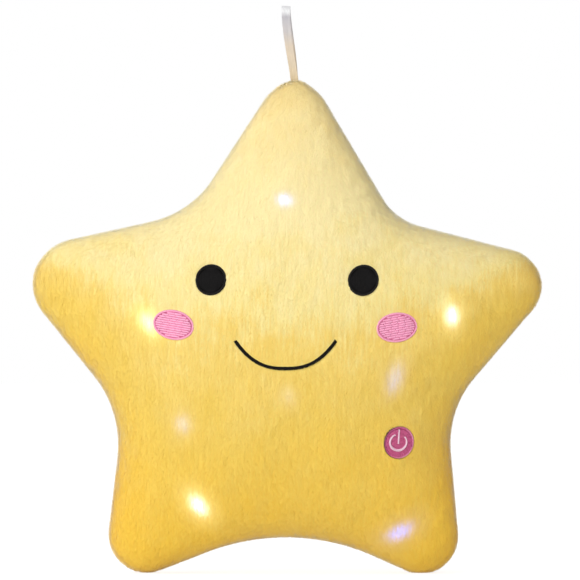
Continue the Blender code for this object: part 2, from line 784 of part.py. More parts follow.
def make_wire_route():
    """From the switch housing's side past the foot of each lamp, in the order of the lamps."""
    start_depth = SWITCH_BOTTOM + SWITCH_WALL + BOARD_STANDOFF / 2
    towards = lamp_frames[0].translation - patch_frame.translation
    normal = patch_frame.col[2].xyz
    out = (towards - normal * towards.dot(normal)).normalized()
    start = patch_frame @ Vector((0, 0, start_depth)) + out * (SWITCH_DIAMETER / 2 - 2 * SWITCH_WALL)
    places, normals = [start], [normal]
    for frame in lamp_frames:
        places.append(frame @ Vector((0, 0, LAMP_WIRE_DEPTH)))
        normals.append(frame.col[2].xyz)
    tail = (places[-1] - places[-2]).normalized() * WIRE_TAIL
    places.append(places[-1] + tail - normals[-1] * tail.dot(normals[-1]))
    normals.append(normals[-1])
    headings = []
    for number, normal in enumerate(normals):
        before, after = places[max(number - 1, 0)], places[min(number + 1, len(places) - 1)]
        heading = after - before
        headings.append((heading - normal * heading.dot(normal)).normalized())
    headings[0] = out
    return through(places, headings, WIRE_SPANS), start, out


def make_lead_route():
    """The lead from the battery box's wiring room to the hole in the bottom of the switch housing."""
    end = patch_frame @ Vector((0, 0, SWITCH_BOTTOM + SWITCH_WALL / 2))
    arriving = patch_frame.col[2].xyz
    start = Vector((CASE_HALF_WIDTH - 2 * CASE_WALL, CASE_MIDDLE, CASE_LOW + CASE_WALL + WIRING_ROOM / 2))
    return through([start, end], [Vector((1, 0, 0)), arriving], LEAD_SPANS, LEAD_PACE_SHARE)


def make_battery_box():
    """The battery box: troughs for the cells, contact grooves, a room for the wiring and the screw's boss."""
    half, low, high = CASE_HALF_WIDTH, CASE_LOW, CASE_LOW + CASE_LENGTH
    floor, brim = CASE_FLOOR, CASE_FLOOR + CASE_DEPTH
    case = box("battery_case", (-half, floor, low), (half, brim + 2 * CASE_CORNER, high), black_plastic)
    bevel(case, CASE_CORNER)
    carve(case, box("case_top", (-half - CUT_OVERRUN, brim, low - CUT_OVERRUN),
                    (half + CUT_OVERRUN, brim + CUT_OVERRUN, high + CUT_OVERRUN)))
    bay_low = CELL_LOW - CONTACT_SPRING_LENGTH - ENDS
    bay_high = CELL_LOW + CELL_LENGTH + CONTACT_SPRING_LENGTH + ENDS
    groove = CASE_WALL / 4
    carve(case, box("case_well", (-half + CASE_WALL, CASE_MIDDLE, bay_low - groove),
                    (half - CASE_WALL, brim + CUT_OVERRUN, bay_high + groove)))
    for number, x in enumerate(CELL_PLACES, 1):
        frame = Matrix.Translation((x, CASE_MIDDLE, 0))
        carve(case, column(f"cell_trough_{number}", CELL_DIAMETER / 2 + SEAT_GAP, bay_high, bay_low, frame,
                           TROUGH_STEPS))
    first, middle, last = CELL_PLACES
    for name, from_x, to_x, z_low, z_high in (
        ("groove_low", middle, last, bay_low - groove / 2, bay_low + 2 * ENDS),
        ("groove_high", first, middle, bay_high - 2 * ENDS, bay_high + groove / 2),
    ):
        carve(case, box(name, (from_x, CASE_MIDDLE - CONTACT_WIDTH / 2 - SEAT_GAP, z_low),
                        (to_x, CASE_MIDDLE + CONTACT_WIDTH / 2, z_high)))
    room_low, room_high = low + CASE_WALL, low + CASE_WALL + WIRING_ROOM
    for side in (-1, 1):
        low_x, high_x = sorted((side * BOSS_DIAMETER / 2, side * (half - CASE_WALL)))
        carve(case, box(f"wiring_room_{side}", (low_x, floor + CASE_WALL, room_low),
                        (high_x, brim + CUT_OVERRUN, room_high)))
    screw_frame = Matrix.Translation((0, 0, (room_low + room_high) / 2)) @ Matrix.Rotation(-math.pi / 2, 4, "X")
    carve(case, column("screw_pilot", SCREW_DIAMETER / 2 + SEAT_GAP, brim + CUT_OVERRUN,
                       brim - SCREW_LENGTH, screw_frame))
    tab_low = brim + SEAT_GAP - LID_LIP
    for side in (-1, 1):
        x, reach = side * half / 2, LID_TAB_WIDTH / 2 + SEAT_GAP
        carve(case, box(f"tab_slot_{side}", (x - reach, tab_low - SEAT_GAP, bay_high - CASE_WALL),
                        (x + reach, tab_low + LID_TAB_THICKNESS + SEAT_GAP, high + CUT_OVERRUN)))
    carve(case, lead_hole("case_lead_hole"))
    make_lid(half, low, high, brim, bay_high, screw_frame)
    for number, x in enumerate(CELL_PLACES):
        make_cell(number, x)
    make_contacts(bay_low, bay_high)
    tube("battery_lead", lead_route, LEAD_DIAMETER, wire_sleeve, 1)


def lead_hole(name):
    return as_mesh(tube(name, lead_route, LEAD_DIAMETER + 2 * SEAT_GAP, None, 2))


def make_lid(half, low, high, brim, bay_high, screw_frame):
    """The battery box's lid: ribbed for grip, hooked at its top and held by one screw at its bottom."""
    under = brim + SEAT_GAP
    lid_top = under + LID_THICKNESS
    lid = box("battery_lid", (-half, under, low), (half, lid_top, high), black_plastic)
    bevel(lid, LID_RIB)
    inside = half - CASE_WALL - SEAT_GAP
    lip_high = bay_high - SEAT_GAP
    fuse(lid, box("lid_lip", (-inside, under - LID_LIP, lip_high - CASE_WALL),
                  (inside, under + LID_THICKNESS / 2, lip_high)))
    for side in (-1, 1):
        x = side * half / 2
        fuse(lid, box(f"lid_tab_{side}", (x - LID_TAB_WIDTH / 2, under - LID_LIP, lip_high - CASE_WALL / 2),
                      (x + LID_TAB_WIDTH / 2, under - LID_LIP + LID_TAB_THICKNESS, bay_high + LID_TAB_LENGTH)))
    for number in range(LID_RIB_COUNT):
        z = high - (number + 2) * 3 * LID_RIB_WIDTH
        fuse(lid, box(f"lid_rib_{number}", (-half / 2, lid_top - LID_THICKNESS / 2, z),
                      (half / 2, lid_top + LID_RIB, z + LID_RIB_WIDTH)))
    carve(lid, column("lid_screw_hole", SCREW_DIAMETER / 2 + SEAT_GAP, lid_top + CUT_OVERRUN,
                      under - CUT_OVERRUN, screw_frame))
    carve(lid, column("lid_screw_sink", SCREW_HEAD_DIAMETER / 2 + SEAT_GAP, lid_top + CUT_OVERRUN,
                      lid_top - SCREW_HEAD_HEIGHT / 2, screw_frame))
    head_low = lid_top - SCREW_HEAD_HEIGHT / 2 + SEAT_GAP
    head_top = head_low + SCREW_HEAD_HEIGHT
    head, shank = SCREW_HEAD_DIAMETER / 2, SCREW_DIAMETER / 2
    profile = [(0, head_top), (head * SCREW_CROWN_SHARE, head_top), (head, head_low + SCREW_HEAD_HEIGHT / 3),
               (head, head_low), (shank, head_low), (shank, head_low - SCREW_LENGTH + shank),
               (0, head_low - SCREW_LENGTH)]
    screw = turned("lid_screw", profile, steel, screw_frame, SMALL_STEPS)
    slot = SCREW_SLOT / 2
    z = screw_frame.translation.z
    cross = head * SCREW_CROSS_SHARE
    for name, x_half, z_half in (("slot_across", cross, slot), ("slot_along", slot, cross)):
        carve(screw, box(name, (-x_half, head_top - SCREW_HEAD_HEIGHT / 2, z - z_half),
                         (x_half, head_top + CUT_OVERRUN, z + z_half)))


def make_cell(number, x):
    """One cell, its nub up on the outer two and down on the middle one."""
    radius, nub = CELL_DIAMETER / 2, NUB_DIAMETER / 2
    shoulder = CELL_LENGTH - NUB_HEIGHT
    frame = Matrix.Translation((x, CASE_MIDDLE, CELL_LOW))
    if number % 2:
        frame = Matrix.Translation((x, CASE_MIDDLE, CELL_LOW + CELL_LENGTH)) @ Matrix.Rotation(math.pi, 4, "X")
    profile = [(0, CELL_LENGTH), (nub, CELL_LENGTH), (nub, shoulder), (radius - CELL_EDGE, shoulder),
               (radius, shoulder - CELL_EDGE), (radius, CELL_EDGE), (radius - CELL_EDGE, 0), (0, 0)]
    turned(f"battery_{number + 1}", profile, cell_wrap, frame, CELL_STEPS)


def make_contacts(bay_low, bay_high):
    """Contact plates across the bays' ends, with a cone spring for each cell's flat end."""
    plate = CONTACT_WIDTH / 2
    first, middle, last = CELL_PLACES
    ends = {"low": (bay_low + SEAT_GAP, 1), "high": (bay_high - SEAT_GAP, -1)}
    layout = (
        ("contact_negative", "low", first, first, [first]),
        ("contact_bridge_low", "low", middle, last, [last]),
        ("contact_bridge_high", "high", first, middle, [middle]),
        ("contact_positive", "high", last, last, []),
    )
    for name, end, from_x, to_x, springs in layout:
        base, inward = ends[end]
        low, high = sorted((base, base + inward * CONTACT_THICKNESS))
        strip = box(name, (from_x - plate, CASE_MIDDLE - plate, low), (to_x + plate, CASE_MIDDLE + plate, high),
                    nickel)
        for x in springs:
            spring_end = CELL_LOW - SEAT_GAP if inward > 0 else CELL_LOW + CELL_LENGTH + SEAT_GAP
            start = base + inward * CONTACT_THICKNESS / 2
            tip = spring_end - inward * CONTACT_WIRE / 2
            coil = helix(CONTACT_SPRING_DIAMETER / 2, CONTACT_SPRING_TIP / 2, 0, abs(tip - start),
                         CONTACT_TURNS)
            places = [Vector((x + place.x, CASE_MIDDLE + place.y, start + inward * place.z)) for place in coil]
            fuse(strip, as_mesh(tube(f"{name}_spring", places, CONTACT_WIRE, None, 1)))
        for x in (from_x, to_x):
            if x in springs:
                continue
            reach = base + inward * (ENDS + CONTACT_SPRING_LENGTH - 2 * SEAT_GAP)
            foot, tip = sorted((base + inward * CONTACT_THICKNESS / 2, reach))
            fuse(strip, column(f"{name}_dimple", NUB_DIAMETER / 2, tip, foot,
                               Matrix.Translation((x, CASE_MIDDLE, 0))))


def make_pouch():
    """The lining bag behind the zip, its mouth sewn under the zip's tapes."""
    low, high = Vector(POUCH_CORNERS[0]), Vector(POUCH_CORNERS[1])
    wall = Vector((POUCH_WALL, POUCH_WALL, POUCH_WALL))
    pouch = box("battery_pouch", low, high, lining)
    bevel(pouch, POUCH_CORNER)
    hollow = box("pouch_hollow", low + wall, high - wall)
    bevel(hollow, POUCH_CORNER - POUCH_WALL)
    carve(pouch, hollow)
    half = POUCH_MOUTH_WIDTH / 2
    carve(pouch, box("pouch_mouth", (-half, high.y - 2 * POUCH_WALL, ZIP_LOW - SEAT_GAP),
                     (half, high.y + CUT_OVERRUN, ZIP_HIGH + SEAT_GAP)))
    carve(pouch, lead_hole("pouch_lead_hole"))


def row_shift(z):
    """How far each row of teeth has parted at a height, as it runs up into the slider."""
    share = min(max((z - (SLIDER_Z - SPLIT_START)) / (SPLIT_START + SPLIT_END), 0), 1)
    return SPLIT_SHIFT * share * share * (3 - 2 * share)


def split_heights():
    """The heights at which the edges of the rows and tapes bend as they part inside the slider."""
    span = SPLIT_START + SPLIT_END
    return [SLIDER_Z - SPLIT_START + span * step / SPLIT_SPANS for step in range(SPLIT_SPANS + 1)]


def teeth_outline(side):
    """A comb of moulded teeth on one side of the zip. The other side's teeth fill its gaps."""
    start = ROW_LOW + TOOTH_HEAD / 2 + (TOOTH_PITCH / 2 if side > 0 else 0)
    count = int((ROW_HIGH - TOOTH_HEAD / 2 - start) / TOOTH_PITCH) + 1
    points = []

    def add(across, z):
        points.append((side * (across + row_shift(z)), z))

    for z in (ROW_LOW, *split_heights(), ROW_HIGH):
        add(ROW_HALF_WIDTH, z)
    add(TOOTH_ROOT, ROW_HIGH)
    for number in reversed(range(count)):
        z = start + number * TOOTH_PITCH
        add(TOOTH_ROOT, z + TOOTH_NECK / 2)
        add(0, z + TOOTH_NECK / 2)
        add(-TOOTH_REACH, z + TOOTH_HEAD / 2)
        add(-TOOTH_REACH, z - TOOTH_HEAD / 2)
        add(0, z - TOOTH_NECK / 2)
        add(TOOTH_ROOT, z - TOOTH_NECK / 2)
    add(TOOTH_ROOT, ROW_LOW)
    return points


def tape_outline(side):
    """The tape beside a row: straight outside, and following the row inside."""
    edge = ROW_HALF_WIDTH + SEAT_GAP
    heights = (ZIP_LOW - TAPE_END, *split_heights(), ZIP_HIGH + TAPE_END)
    inner = [(side * (edge + row_shift(z)), z) for z in heights]
    outer = side * (edge + TAPE_WIDTH)
    return [*inner, (outer, ZIP_HIGH + TAPE_END), (outer, ZIP_LOW - TAPE_END)]


def make_zip():
    plane = upright(0, ZIP_Y, 0)
    for name, side in (("left", -1), ("right", 1)):
        flat_outline(f"zip_tape_{name}", [tape_outline(side)], TAPE_THICKNESS, plane, tape_cloth)
        flat_outline(f"zip_teeth_{name}", [teeth_outline(side)], ROW_THICKNESS, plane, zip_plastic)
        near, far = SPLIT_SHIFT - TOOTH_REACH, SPLIT_SHIFT + ROW_HALF_WIDTH
        low_x, high_x = sorted((side * near, side * far))
        stop = box(f"zip_top_stop_{name}", (low_x, ZIP_Y - ROW_THICKNESS / 2, TOP_STOP_LOW),
                   (high_x, ZIP_Y + ROW_THICKNESS / 2, TOP_STOP_LOW + STOP_LENGTH), zip_plastic)
        bevel(stop, TOOTH_NECK / 4, 1)
    low = box("zip_bottom_stop", (-ROW_HALF_WIDTH, ZIP_Y - ROW_THICKNESS / 2, ROW_LOW - SEAT_GAP - STOP_LENGTH),
              (ROW_HALF_WIDTH, ZIP_Y + ROW_THICKNESS / 2, ROW_LOW - SEAT_GAP), zip_plastic)
    bevel(low, TOOTH_NECK / 4, 1)
    make_slider()


def make_slider():
    """The slider: a block with a Y-shaped channel for the teeth, side slots for the tapes, and a bail."""
    half = SLIDER_LENGTH / 2
    foot_channel = ROW_HALF_WIDTH + SEAT_GAP
    head_channel = foot_channel + SPLIT_SHIFT
    foot, head = foot_channel + SLIDER_FLANGE, head_channel + SLIDER_FLANGE
    thickness = ROW_THICKNESS + 2 * SEAT_GAP + 2 * SLIDER_WALL
    slider_frame = upright(0, ZIP_Y, SLIDER_Z)
    right = [(foot - SLIDER_FLANGE / 2, -half), (foot, -half + SLIDER_FLANGE / 2), (foot, -SPLIT_START),
             (head, SPLIT_END), (head, half - 2 * SLIDER_FLANGE), (head - 2 * SLIDER_FLANGE, half)]
    outline = right + [(-x, z) for x, z in reversed(right)]
    slider = as_mesh(flat_outline("zip_slider", [outline], thickness, slider_frame, metal_grey))
    past = half + CUT_OVERRUN
    nose = half - SPLIT_END
    channel_right = [(foot_channel, -past), (foot_channel, -SPLIT_START), (head_channel, SPLIT_END / 2),
                     (head_channel, past), (DIAMOND_HALF_WIDTH, past), (DIAMOND_HALF_WIDTH, SPLIT_END)]
    channel = channel_right + [(0, SPLIT_END - nose)] + [(-x, z) for x, z in reversed(channel_right)]
    carve(slider, as_mesh(flat_outline("teeth_channel", [channel], ROW_THICKNESS + 2 * SEAT_GAP, slider_frame)))
    slot = TAPE_THICKNESS / 2 + SEAT_GAP
    for side in (-1, 1):
        low_x, high_x = sorted((side * (DIAMOND_HALF_WIDTH + SEAT_GAP), side * (head + CUT_OVERRUN)))
        carve(slider, box(f"tape_slot_{side}", (low_x, ZIP_Y - slot, SLIDER_Z - past),
                          (high_x, ZIP_Y + slot, SLIDER_Z + past)))
    face = ZIP_Y + thickness / 2
    reach = BAIL_ROOM + BAIL_BAR
    sunk = SLIDER_WALL / 2
    arch_out, arch_in = BAIL_LENGTH / 2, BAIL_LENGTH / 2 - BAIL_BAR
    shoulder = reach - BAIL_BAR * BAIL_SHOULDER_SHARE
    arch = [(-arch_out, -sunk), (-arch_out, shoulder), (-arch_in, reach), (arch_in, reach),
            (arch_out, shoulder), (arch_out, -sunk), (arch_in, -sunk), (arch_in, BAIL_ROOM - BAIL_BAR / 2),
            (arch_in - BAIL_BAR / 2, BAIL_ROOM), (-arch_in + BAIL_BAR / 2, BAIL_ROOM),
            (-arch_in, BAIL_ROOM - BAIL_BAR / 2), (-arch_in, -sunk)]
    sideways = Matrix(((0, 0, 1), (0, 1, 0), (-1, 0, 0))).to_4x4()
    bail_frame = Matrix.Translation((0, face, SLIDER_Z)) @ sideways
    fuse(slider, as_mesh(flat_outline("bail", [arch], BAIL_WIDTH, bail_frame)))
    make_pull(face, slider)


def make_pull(face, slider):
    """The pull hangs from the slider's bail by the bar above its eye."""
    axis = Vector((0, face + BAIL_ROOM / 2, SLIDER_Z))
    pull_axis = empty_at("pull_axis", Matrix.Translation(axis))
    half, bar = PULL_WIDTH / 2, PULL_BAR / 2
    corner = PULL_WIDTH / 5
    outline = [(-half + corner, bar), (-half, bar - corner), (-half, -PULL_LENGTH + corner),
               (-half + corner, -PULL_LENGTH), (half - corner, -PULL_LENGTH), (half, -PULL_LENGTH + corner),
               (half, bar - corner), (half - corner, bar)]
    eye = BAIL_WIDTH / 2 + SOFT_GAP
    hole = [(-eye, -bar), (eye, -bar), (eye, -bar - PULL_EYE_LENGTH), (-eye, -bar - PULL_EYE_LENGTH)]
    grip_top, grip_end = -PULL_LENGTH * GRIP_SHARE, -PULL_LENGTH + corner
    grip = [(-half + corner, grip_top), (half - corner, grip_top), (half - corner, grip_end),
            (-half + corner, grip_end)]
    pull = flat_outline("zip_pull", [outline, hole, grip], PULL_THICKNESS, upright(*axis), metal_grey)
    carried_by(pull, pull_axis)
    carried_by(pull_axis, slider)


def on_loop(turn):
    """A place on the loop's middle line, a teardrop that starts and ends at its root."""
    height_share = math.sin(turn / 2) ** 2
    bulge = LOOP_BULGE_SHARE * math.sin(turn) * height_share ** LOOP_TAPER_SHARE
    return Vector((LOOP_SPREAD / 2 * bulge, LOOP_HEIGHT * height_share))


def make_loop():
    """The ribbon loop sewn into the seam at the top tip. It stands up, leans a little and swings about its root."""
    axis = Vector((LOOP_X, 0, LOOP_ROOT))
    outer, inner = [], []
    for step in range(LOOP_POINTS):
        turn = math.tau * step / LOOP_POINTS
        place = on_loop(turn)
        heading = (on_loop(turn + math.tau / LOOP_POINTS / 8) - place).normalized()
        out = Vector((heading.y, -heading.x)) * RIBBON_THICKNESS / 2
        outer.append(place + out)
        inner.append(place - out)
    neck = [place for place in outer if place.y > LOOP_NECK_HEIGHT]
    root = [Vector((LOOP_ROOT_RADIUS * math.sin(turn), -LOOP_ROOT_RADIUS * math.cos(turn)))
            for turn in (-math.pi / 2, -math.pi / 4, 0, math.pi / 4, math.pi / 2)]
    eye = [place for place in inner if place.y > LOOP_EYE_FOOT]
    sideways = Matrix(((0, 0, 1), (1, 0, 0), (0, 1, 0))).to_4x4()
    frame = Matrix.Translation(axis) @ sideways
    loop = as_mesh(flat_outline("hanging_loop", [root + neck, eye], RIBBON_WIDTH, frame, ribbon))
    lean = Matrix.Identity(4)
    lean[2][1] = -LOOP_LEAN / LOOP_HEIGHT
    loop.data.transform(lean)
    carried_by(loop, empty_at("loop_axis", Matrix.Translation(axis)))


clear_scene()
parts = new_collection("star_night_light")
cutters = new_collection("cutters")

plush = new_material("plush", (0.93, 0.74, 0.28), 0.9)
stuffing = new_material("stuffing", (0.92, 0.92, 0.90), 1.0)
lining = new_material("lining", (0.90, 0.87, 0.78), 0.9)
eye_thread = new_material("eye_thread", (0.01, 0.01, 0.012), 0.5)
cheek_thread = new_material("cheek_thread", (0.85, 0.38, 0.55), 0.6)
patch_thread = new_material("patch_thread", (0.60, 0.10, 0.28), 0.6)
ribbon = new_material("ribbon", (0.75, 0.72, 0.70), 0.35)
tape_cloth = new_material("tape_cloth", (0.85, 0.68, 0.28), 0.9)
zip_plastic = new_material("zip_plastic", (0.85, 0.68, 0.28), 0.4)
metal_grey = new_material("metal_grey", (0.60, 0.60, 0.62), 0.3, 1.0)
white_plastic = new_material("white_plastic", (0.85, 0.85, 0.84), 0.4)
black_plastic = new_material("black_plastic", (0.03, 0.03, 0.03), 0.45)
board_green = new_material("board_green", (0.02, 0.22, 0.09), 0.4)
steel = new_material("steel", (0.62, 0.62, 0.62), 0.3, 1.0)
nickel = new_material("nickel", (0.68, 0.66, 0.62), 0.25, 1.0)
cell_wrap = new_material("cell_wrap", (0.10, 0.16, 0.30), 0.35)
lamp_epoxy = new_material("lamp_epoxy", (0.95, 0.94, 0.88), 0.15)
wire_sleeve = new_material("wire_sleeve", (0.80, 0.78, 0.74), 0.4)

# Places worked out from the sizes above
GRID = skin_grid()
CROWN = crown_shares(*GRID)
front_tree = BVHTree.FromBMesh(cover_surface(-1, front_height))
patch_frame = front_frame(PATCH_SHARE)
lamp_frames = [front_frame(share) for share in LAMP_SHARES]
SWITCH_BOTTOM = -BEZEL_DROP - BEZEL_THICKNESS - SWITCH_DEPTH
LAMP_WIRE_DEPTH = -(FABRIC_THICKNESS + SOFT_GAP + LAMP_LENGTH + SLEEVE_LENGTH + SEAT_GAP + WIRE_DIAMETER / 2)

ZIP_LOW = ZIP_HEIGHT - ZIP_LENGTH / 2
ZIP_HIGH = ZIP_HEIGHT + ZIP_LENGTH / 2
ZIP_Y = BACK_FLAT_HEIGHT - FABRIC_THICKNESS - SOFT_GAP - TAPE_THICKNESS / 2
SPLIT_SHIFT = TOOTH_REACH + DIAMOND_HALF_WIDTH + SEAT_GAP
SPLIT_START, SPLIT_END = (share * SLIDER_LENGTH for share in SPLIT_SHARES)
SLIDER_Z = ZIP_HIGH - STOP_LENGTH - 2 * SEAT_GAP - SLIDER_LENGTH / 2
TOP_STOP_LOW = SLIDER_Z + SLIDER_LENGTH / 2 + SEAT_GAP
ROW_HIGH = TOP_STOP_LOW - SEAT_GAP
ROW_LOW = ZIP_LOW + STOP_LENGTH + 2 * SEAT_GAP

SLIDER_INNER = ZIP_Y - ROW_THICKNESS / 2 - SEAT_GAP - SLIDER_WALL
ENDS = SEAT_GAP + CONTACT_THICKNESS
CELL_PITCH = CELL_DIAMETER + 2 * SEAT_GAP + BAY_RIB
CELL_PLACES = tuple((number - (CELL_COUNT - 1) / 2) * CELL_PITCH for number in range(CELL_COUNT))
CASE_HALF_WIDTH = CELL_COUNT * CELL_PITCH / 2 + CASE_WALL
CASE_LENGTH = 3 * CASE_WALL + WIRING_ROOM + 2 * (ENDS + CONTACT_SPRING_LENGTH) + CELL_LENGTH
CASE_DEPTH = CELL_DIAMETER + 2 * SEAT_GAP + CASE_WALL
POUCH_TOP = ZIP_Y - TAPE_THICKNESS / 2 - SEAT_GAP
POUCH_FLOOR = POUCH_TOP - POUCH_DEPTH
CASE_FLOOR = POUCH_FLOOR + POUCH_WALL + SEAT_GAP
CASE_MIDDLE = CASE_FLOOR + CASE_WALL + SEAT_GAP + CELL_DIAMETER / 2
POUCH_HALF_WIDTH = CASE_HALF_WIDTH + POUCH_SIDE_ROOM
POUCH_LOW = ZIP_LOW - POUCH_END_ROOM
POUCH_HIGH = ZIP_HIGH + POUCH_END_ROOM
CASE_LOW = POUCH_LOW + POUCH_WALL + SEAT_GAP
CELL_LOW = CASE_LOW + 2 * CASE_WALL + WIRING_ROOM + ENDS + CONTACT_SPRING_LENGTH
POUCH_CORNERS = ((-POUCH_HALF_WIDTH, POUCH_FLOOR, POUCH_LOW), (POUCH_HALF_WIDTH, POUCH_TOP, POUCH_HIGH))
TAPE_REACH = ROW_HALF_WIDTH + SEAT_GAP + TAPE_WIDTH
ZIP_CORNERS = ((-TAPE_REACH, SLIDER_INNER, ZIP_LOW - TAPE_END),
               (TAPE_REACH, BACK_FLAT_HEIGHT, ZIP_HIGH + TAPE_END))
ROOMS = (
    ("pouch", POUCH_CORNERS[0], (POUCH_HALF_WIDTH, BACK_FLAT_HEIGHT, POUCH_HIGH)),
    ("zip", *ZIP_CORNERS),
)
STAR_TOP = max(point.y for point in GRID[0][0])
LOOP_ROOT = STAR_TOP + SEAT_GAP + LOOP_ROOT_RADIUS
wire_route, wire_start, wire_out = make_wire_route()
lead_route = make_lead_route()
wire_exit = [wire_start - wire_out * SWITCH_WALL, wire_start + wire_out * CUT_OVERRUN]
wire_exit_tool = as_mesh(tube("wire_exit", wire_exit, WIRE_DIAMETER + 4 * SEAT_GAP, None, 2))
floor_cutter = box("floor_cutter", (-STAR_WIDTH, -STAR_WIDTH, -STAR_HEIGHT), (STAR_WIDTH, STAR_WIDTH, 0))

make_covers()
make_filling()
make_face()
make_switch()
make_lamps()
make_battery_box()
make_pouch()
make_zip()
make_loop()
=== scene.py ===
import math

import bmesh
import bpy
import numpy as np
from mathutils import Matrix, Vector
from mathutils.bvhtree import BVHTree
from mathutils.kdtree import KDTree


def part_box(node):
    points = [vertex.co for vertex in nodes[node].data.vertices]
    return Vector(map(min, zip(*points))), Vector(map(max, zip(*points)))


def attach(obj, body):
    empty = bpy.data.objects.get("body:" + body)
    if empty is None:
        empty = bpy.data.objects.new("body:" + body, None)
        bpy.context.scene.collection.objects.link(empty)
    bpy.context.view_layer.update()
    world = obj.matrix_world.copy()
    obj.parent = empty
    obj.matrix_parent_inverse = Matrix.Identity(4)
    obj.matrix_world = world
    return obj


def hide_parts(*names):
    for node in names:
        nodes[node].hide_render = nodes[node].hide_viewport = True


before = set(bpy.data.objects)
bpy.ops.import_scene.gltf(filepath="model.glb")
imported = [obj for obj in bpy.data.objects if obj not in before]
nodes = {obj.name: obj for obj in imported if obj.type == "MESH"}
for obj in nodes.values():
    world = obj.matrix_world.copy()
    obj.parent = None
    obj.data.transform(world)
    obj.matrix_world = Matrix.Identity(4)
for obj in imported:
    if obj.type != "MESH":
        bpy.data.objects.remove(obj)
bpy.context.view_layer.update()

# The star's outline: each corner's place in shares of the width and the height, and its rounding
STAR_WIDTH = 0.340
STAR_HEIGHT = 0.330
CORNERS = (
    (0.017, 1.058, 0.071), (0.214, 0.716, 0.122), (0.561, 0.624, 0.075), (0.315, 0.327, 0.200),
    (0.3480, -0.050, 0.074), (0.011, 0.105, 0.423), (-0.3655, -0.0425, 0.076), (-0.323, 0.323, 0.217),
    (-0.5725, 0.643, 0.092), (-0.191, 0.730, 0.197),
)
CENTRE = np.array((0.0, 0.5 * STAR_HEIGHT))
CROWN = 0.0535
BACK_FLAT = 0.0475
BACK_BLEND = 0.0015
SEAM_WALL = 0.0022
FULLNESS = 0.42
OUTLINE_POINTS = 168
EDGE_POINTS = 2 * OUTLINE_POINTS
RINGS = 27
PILE_INSET = 0.0014
FABRIC = 0.0020

ZIP_LOW, ZIP_HIGH = 0.094, 0.202
ZIP_HALF_SLOT = 0.0064
ZIP_MIDDLE = 0.148

PATCH_POINT = Vector((0.07429, -0.04055, 0.08745))
PATCH_NORMAL = Vector((0.30203, -0.9454, -0.12248)).normalized()
PATCH_RADIUS = 0.0100
RIM_CENTRE, RIM_WIDTH, RIM_HEIGHT, RIM_TILT, RIM_THREAD = (0.0001, 0.0002), 0.0190, 0.0199, -22, 0.0014
HOLE_GAP = RIM_THREAD / 2 + 0.0004

EYES = {"left_eye": (-0.0503, 0.1954), "right_eye": (0.0504, 0.1951)}
CHEEKS = {"left_cheek": (-0.0751, 0.1657, -12.5), "right_cheek": (0.0726, 0.1640, 7.5)}
MOUTH = (-0.0010, 0.1368)
MOUTH_HALF, MOUTH_RISE, MOUTH_BEND = 0.03335, 0.0184, 2.6

# The pile: how many fibres each side has, and the range of their lengths and half widths
FRONT_FIBRES, BACK_FIBRES = 262000, 196000
FIBRE_LENGTH = 0.0028, 0.0037
FIBRE_HALF_WIDTH = 0.00017, 0.00024
FLOOR_GAP = 0.0002

# Light: each lamp's name, place, size and power, and what it faces
STUDIO = (("key", (-0.85, -1.85, 0.95), 1.5, 20.5), ("back", (0.7, 2.1, 1.3), 1.4, 6.0))
LIT_POINT = Vector((0, 0, 0.16))
CAMERA_PLACE, CAMERA_LENS = (0.002, -6.0, 0.1888), 558.0

# Each glow: place; colour, strength and radius of its core; the same of its halo; slant and stretch along the pile
LAMPS = (
    ((0.0715, -0.0453, 0.1298), (0.0, 0.10, 0.62), 0.58, 0.0140, (0.02, 0.07, 0.24), 0.15, 0.021, 108, 1.9),
    ((0.1095, -0.0371, 0.1716), (0.50, 0.66, 1.0), 1.15, 0.0112, (0.42, 0.50, 0.36), 0.34, 0.021, 92, 1.4),
    ((-0.0015, -0.0404, 0.2486), (0.06, 0.20, 1.0), 0.72, 0.0110, (0.03, 0.10, 0.40), 0.15, 0.018, 12, 1.2),
    ((-0.0478, -0.0496, 0.1776), (0.10, 0.26, 0.44), 0.18, 0.0135, (0.10, 0.20, 0.25), 0.08, 0.019, 90, 1.1),
    ((-0.0915, -0.0428, 0.1672), (0.35, 0.62, 0.62), 0.80, 0.0132, (0.30, 0.44, 0.16), 0.38, 0.020, 50, 1.5),
    ((-0.0690, -0.0440, 0.0998), (0.10, 0.22, 0.70), 0.44, 0.0136, (0.10, 0.15, 0.28), 0.20, 0.023, 80, 1.2),
    ((-0.0586, -0.0357, 0.0458), (0.55, 0.72, 1.0), 1.25, 0.0114, (0.42, 0.52, 0.36), 0.40, 0.021, 58, 1.7),
    ((0.0016, -0.0525, 0.1180), (0.12, 0.18, 0.40), 0.24, 0.0145, (0.10, 0.15, 0.24), 0.11, 0.022, 90, 1.2),
    ((0.0748, -0.0274, 0.0276), (0.0, 0.12, 1.0), 1.05, 0.0124, (0.06, 0.14, 0.44), 0.26, 0.022, -32, 1.8),
)


def put(obj):
    bpy.context.scene.collection.objects.link(obj)
    return obj


def piece(name, verts, faces, material, body):
    data = bpy.data.meshes.new(name)
    data.from_pydata([tuple(v) for v in verts], [], faces)
    data.update()
    data.shade_smooth()
    data.materials.append(material)
    obj = put(bpy.data.objects.new(name, data))
    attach(obj, body)
    return obj


def linear(red, green, blue):
    """A colour as a picture shows it, from 0 to 255, as a shader takes it."""
    shares = [c / 255 for c in (red, green, blue)]
    return tuple(c / 12.92 if c <= 0.04045 else ((c + 0.055) / 1.055) ** 2.4 for c in shares) + (1.0,)


def quads(rows, width, closed, first=0):
    """The faces between rows of that many points. Closed rows meet end to end."""
    for row in range(rows - 1):
        here, there = first + row * width, first + (row + 1) * width
        for number in range(width if closed else width - 1):
            following = (number + 1) % width
            yield here + number, here + following, there + following, there + number


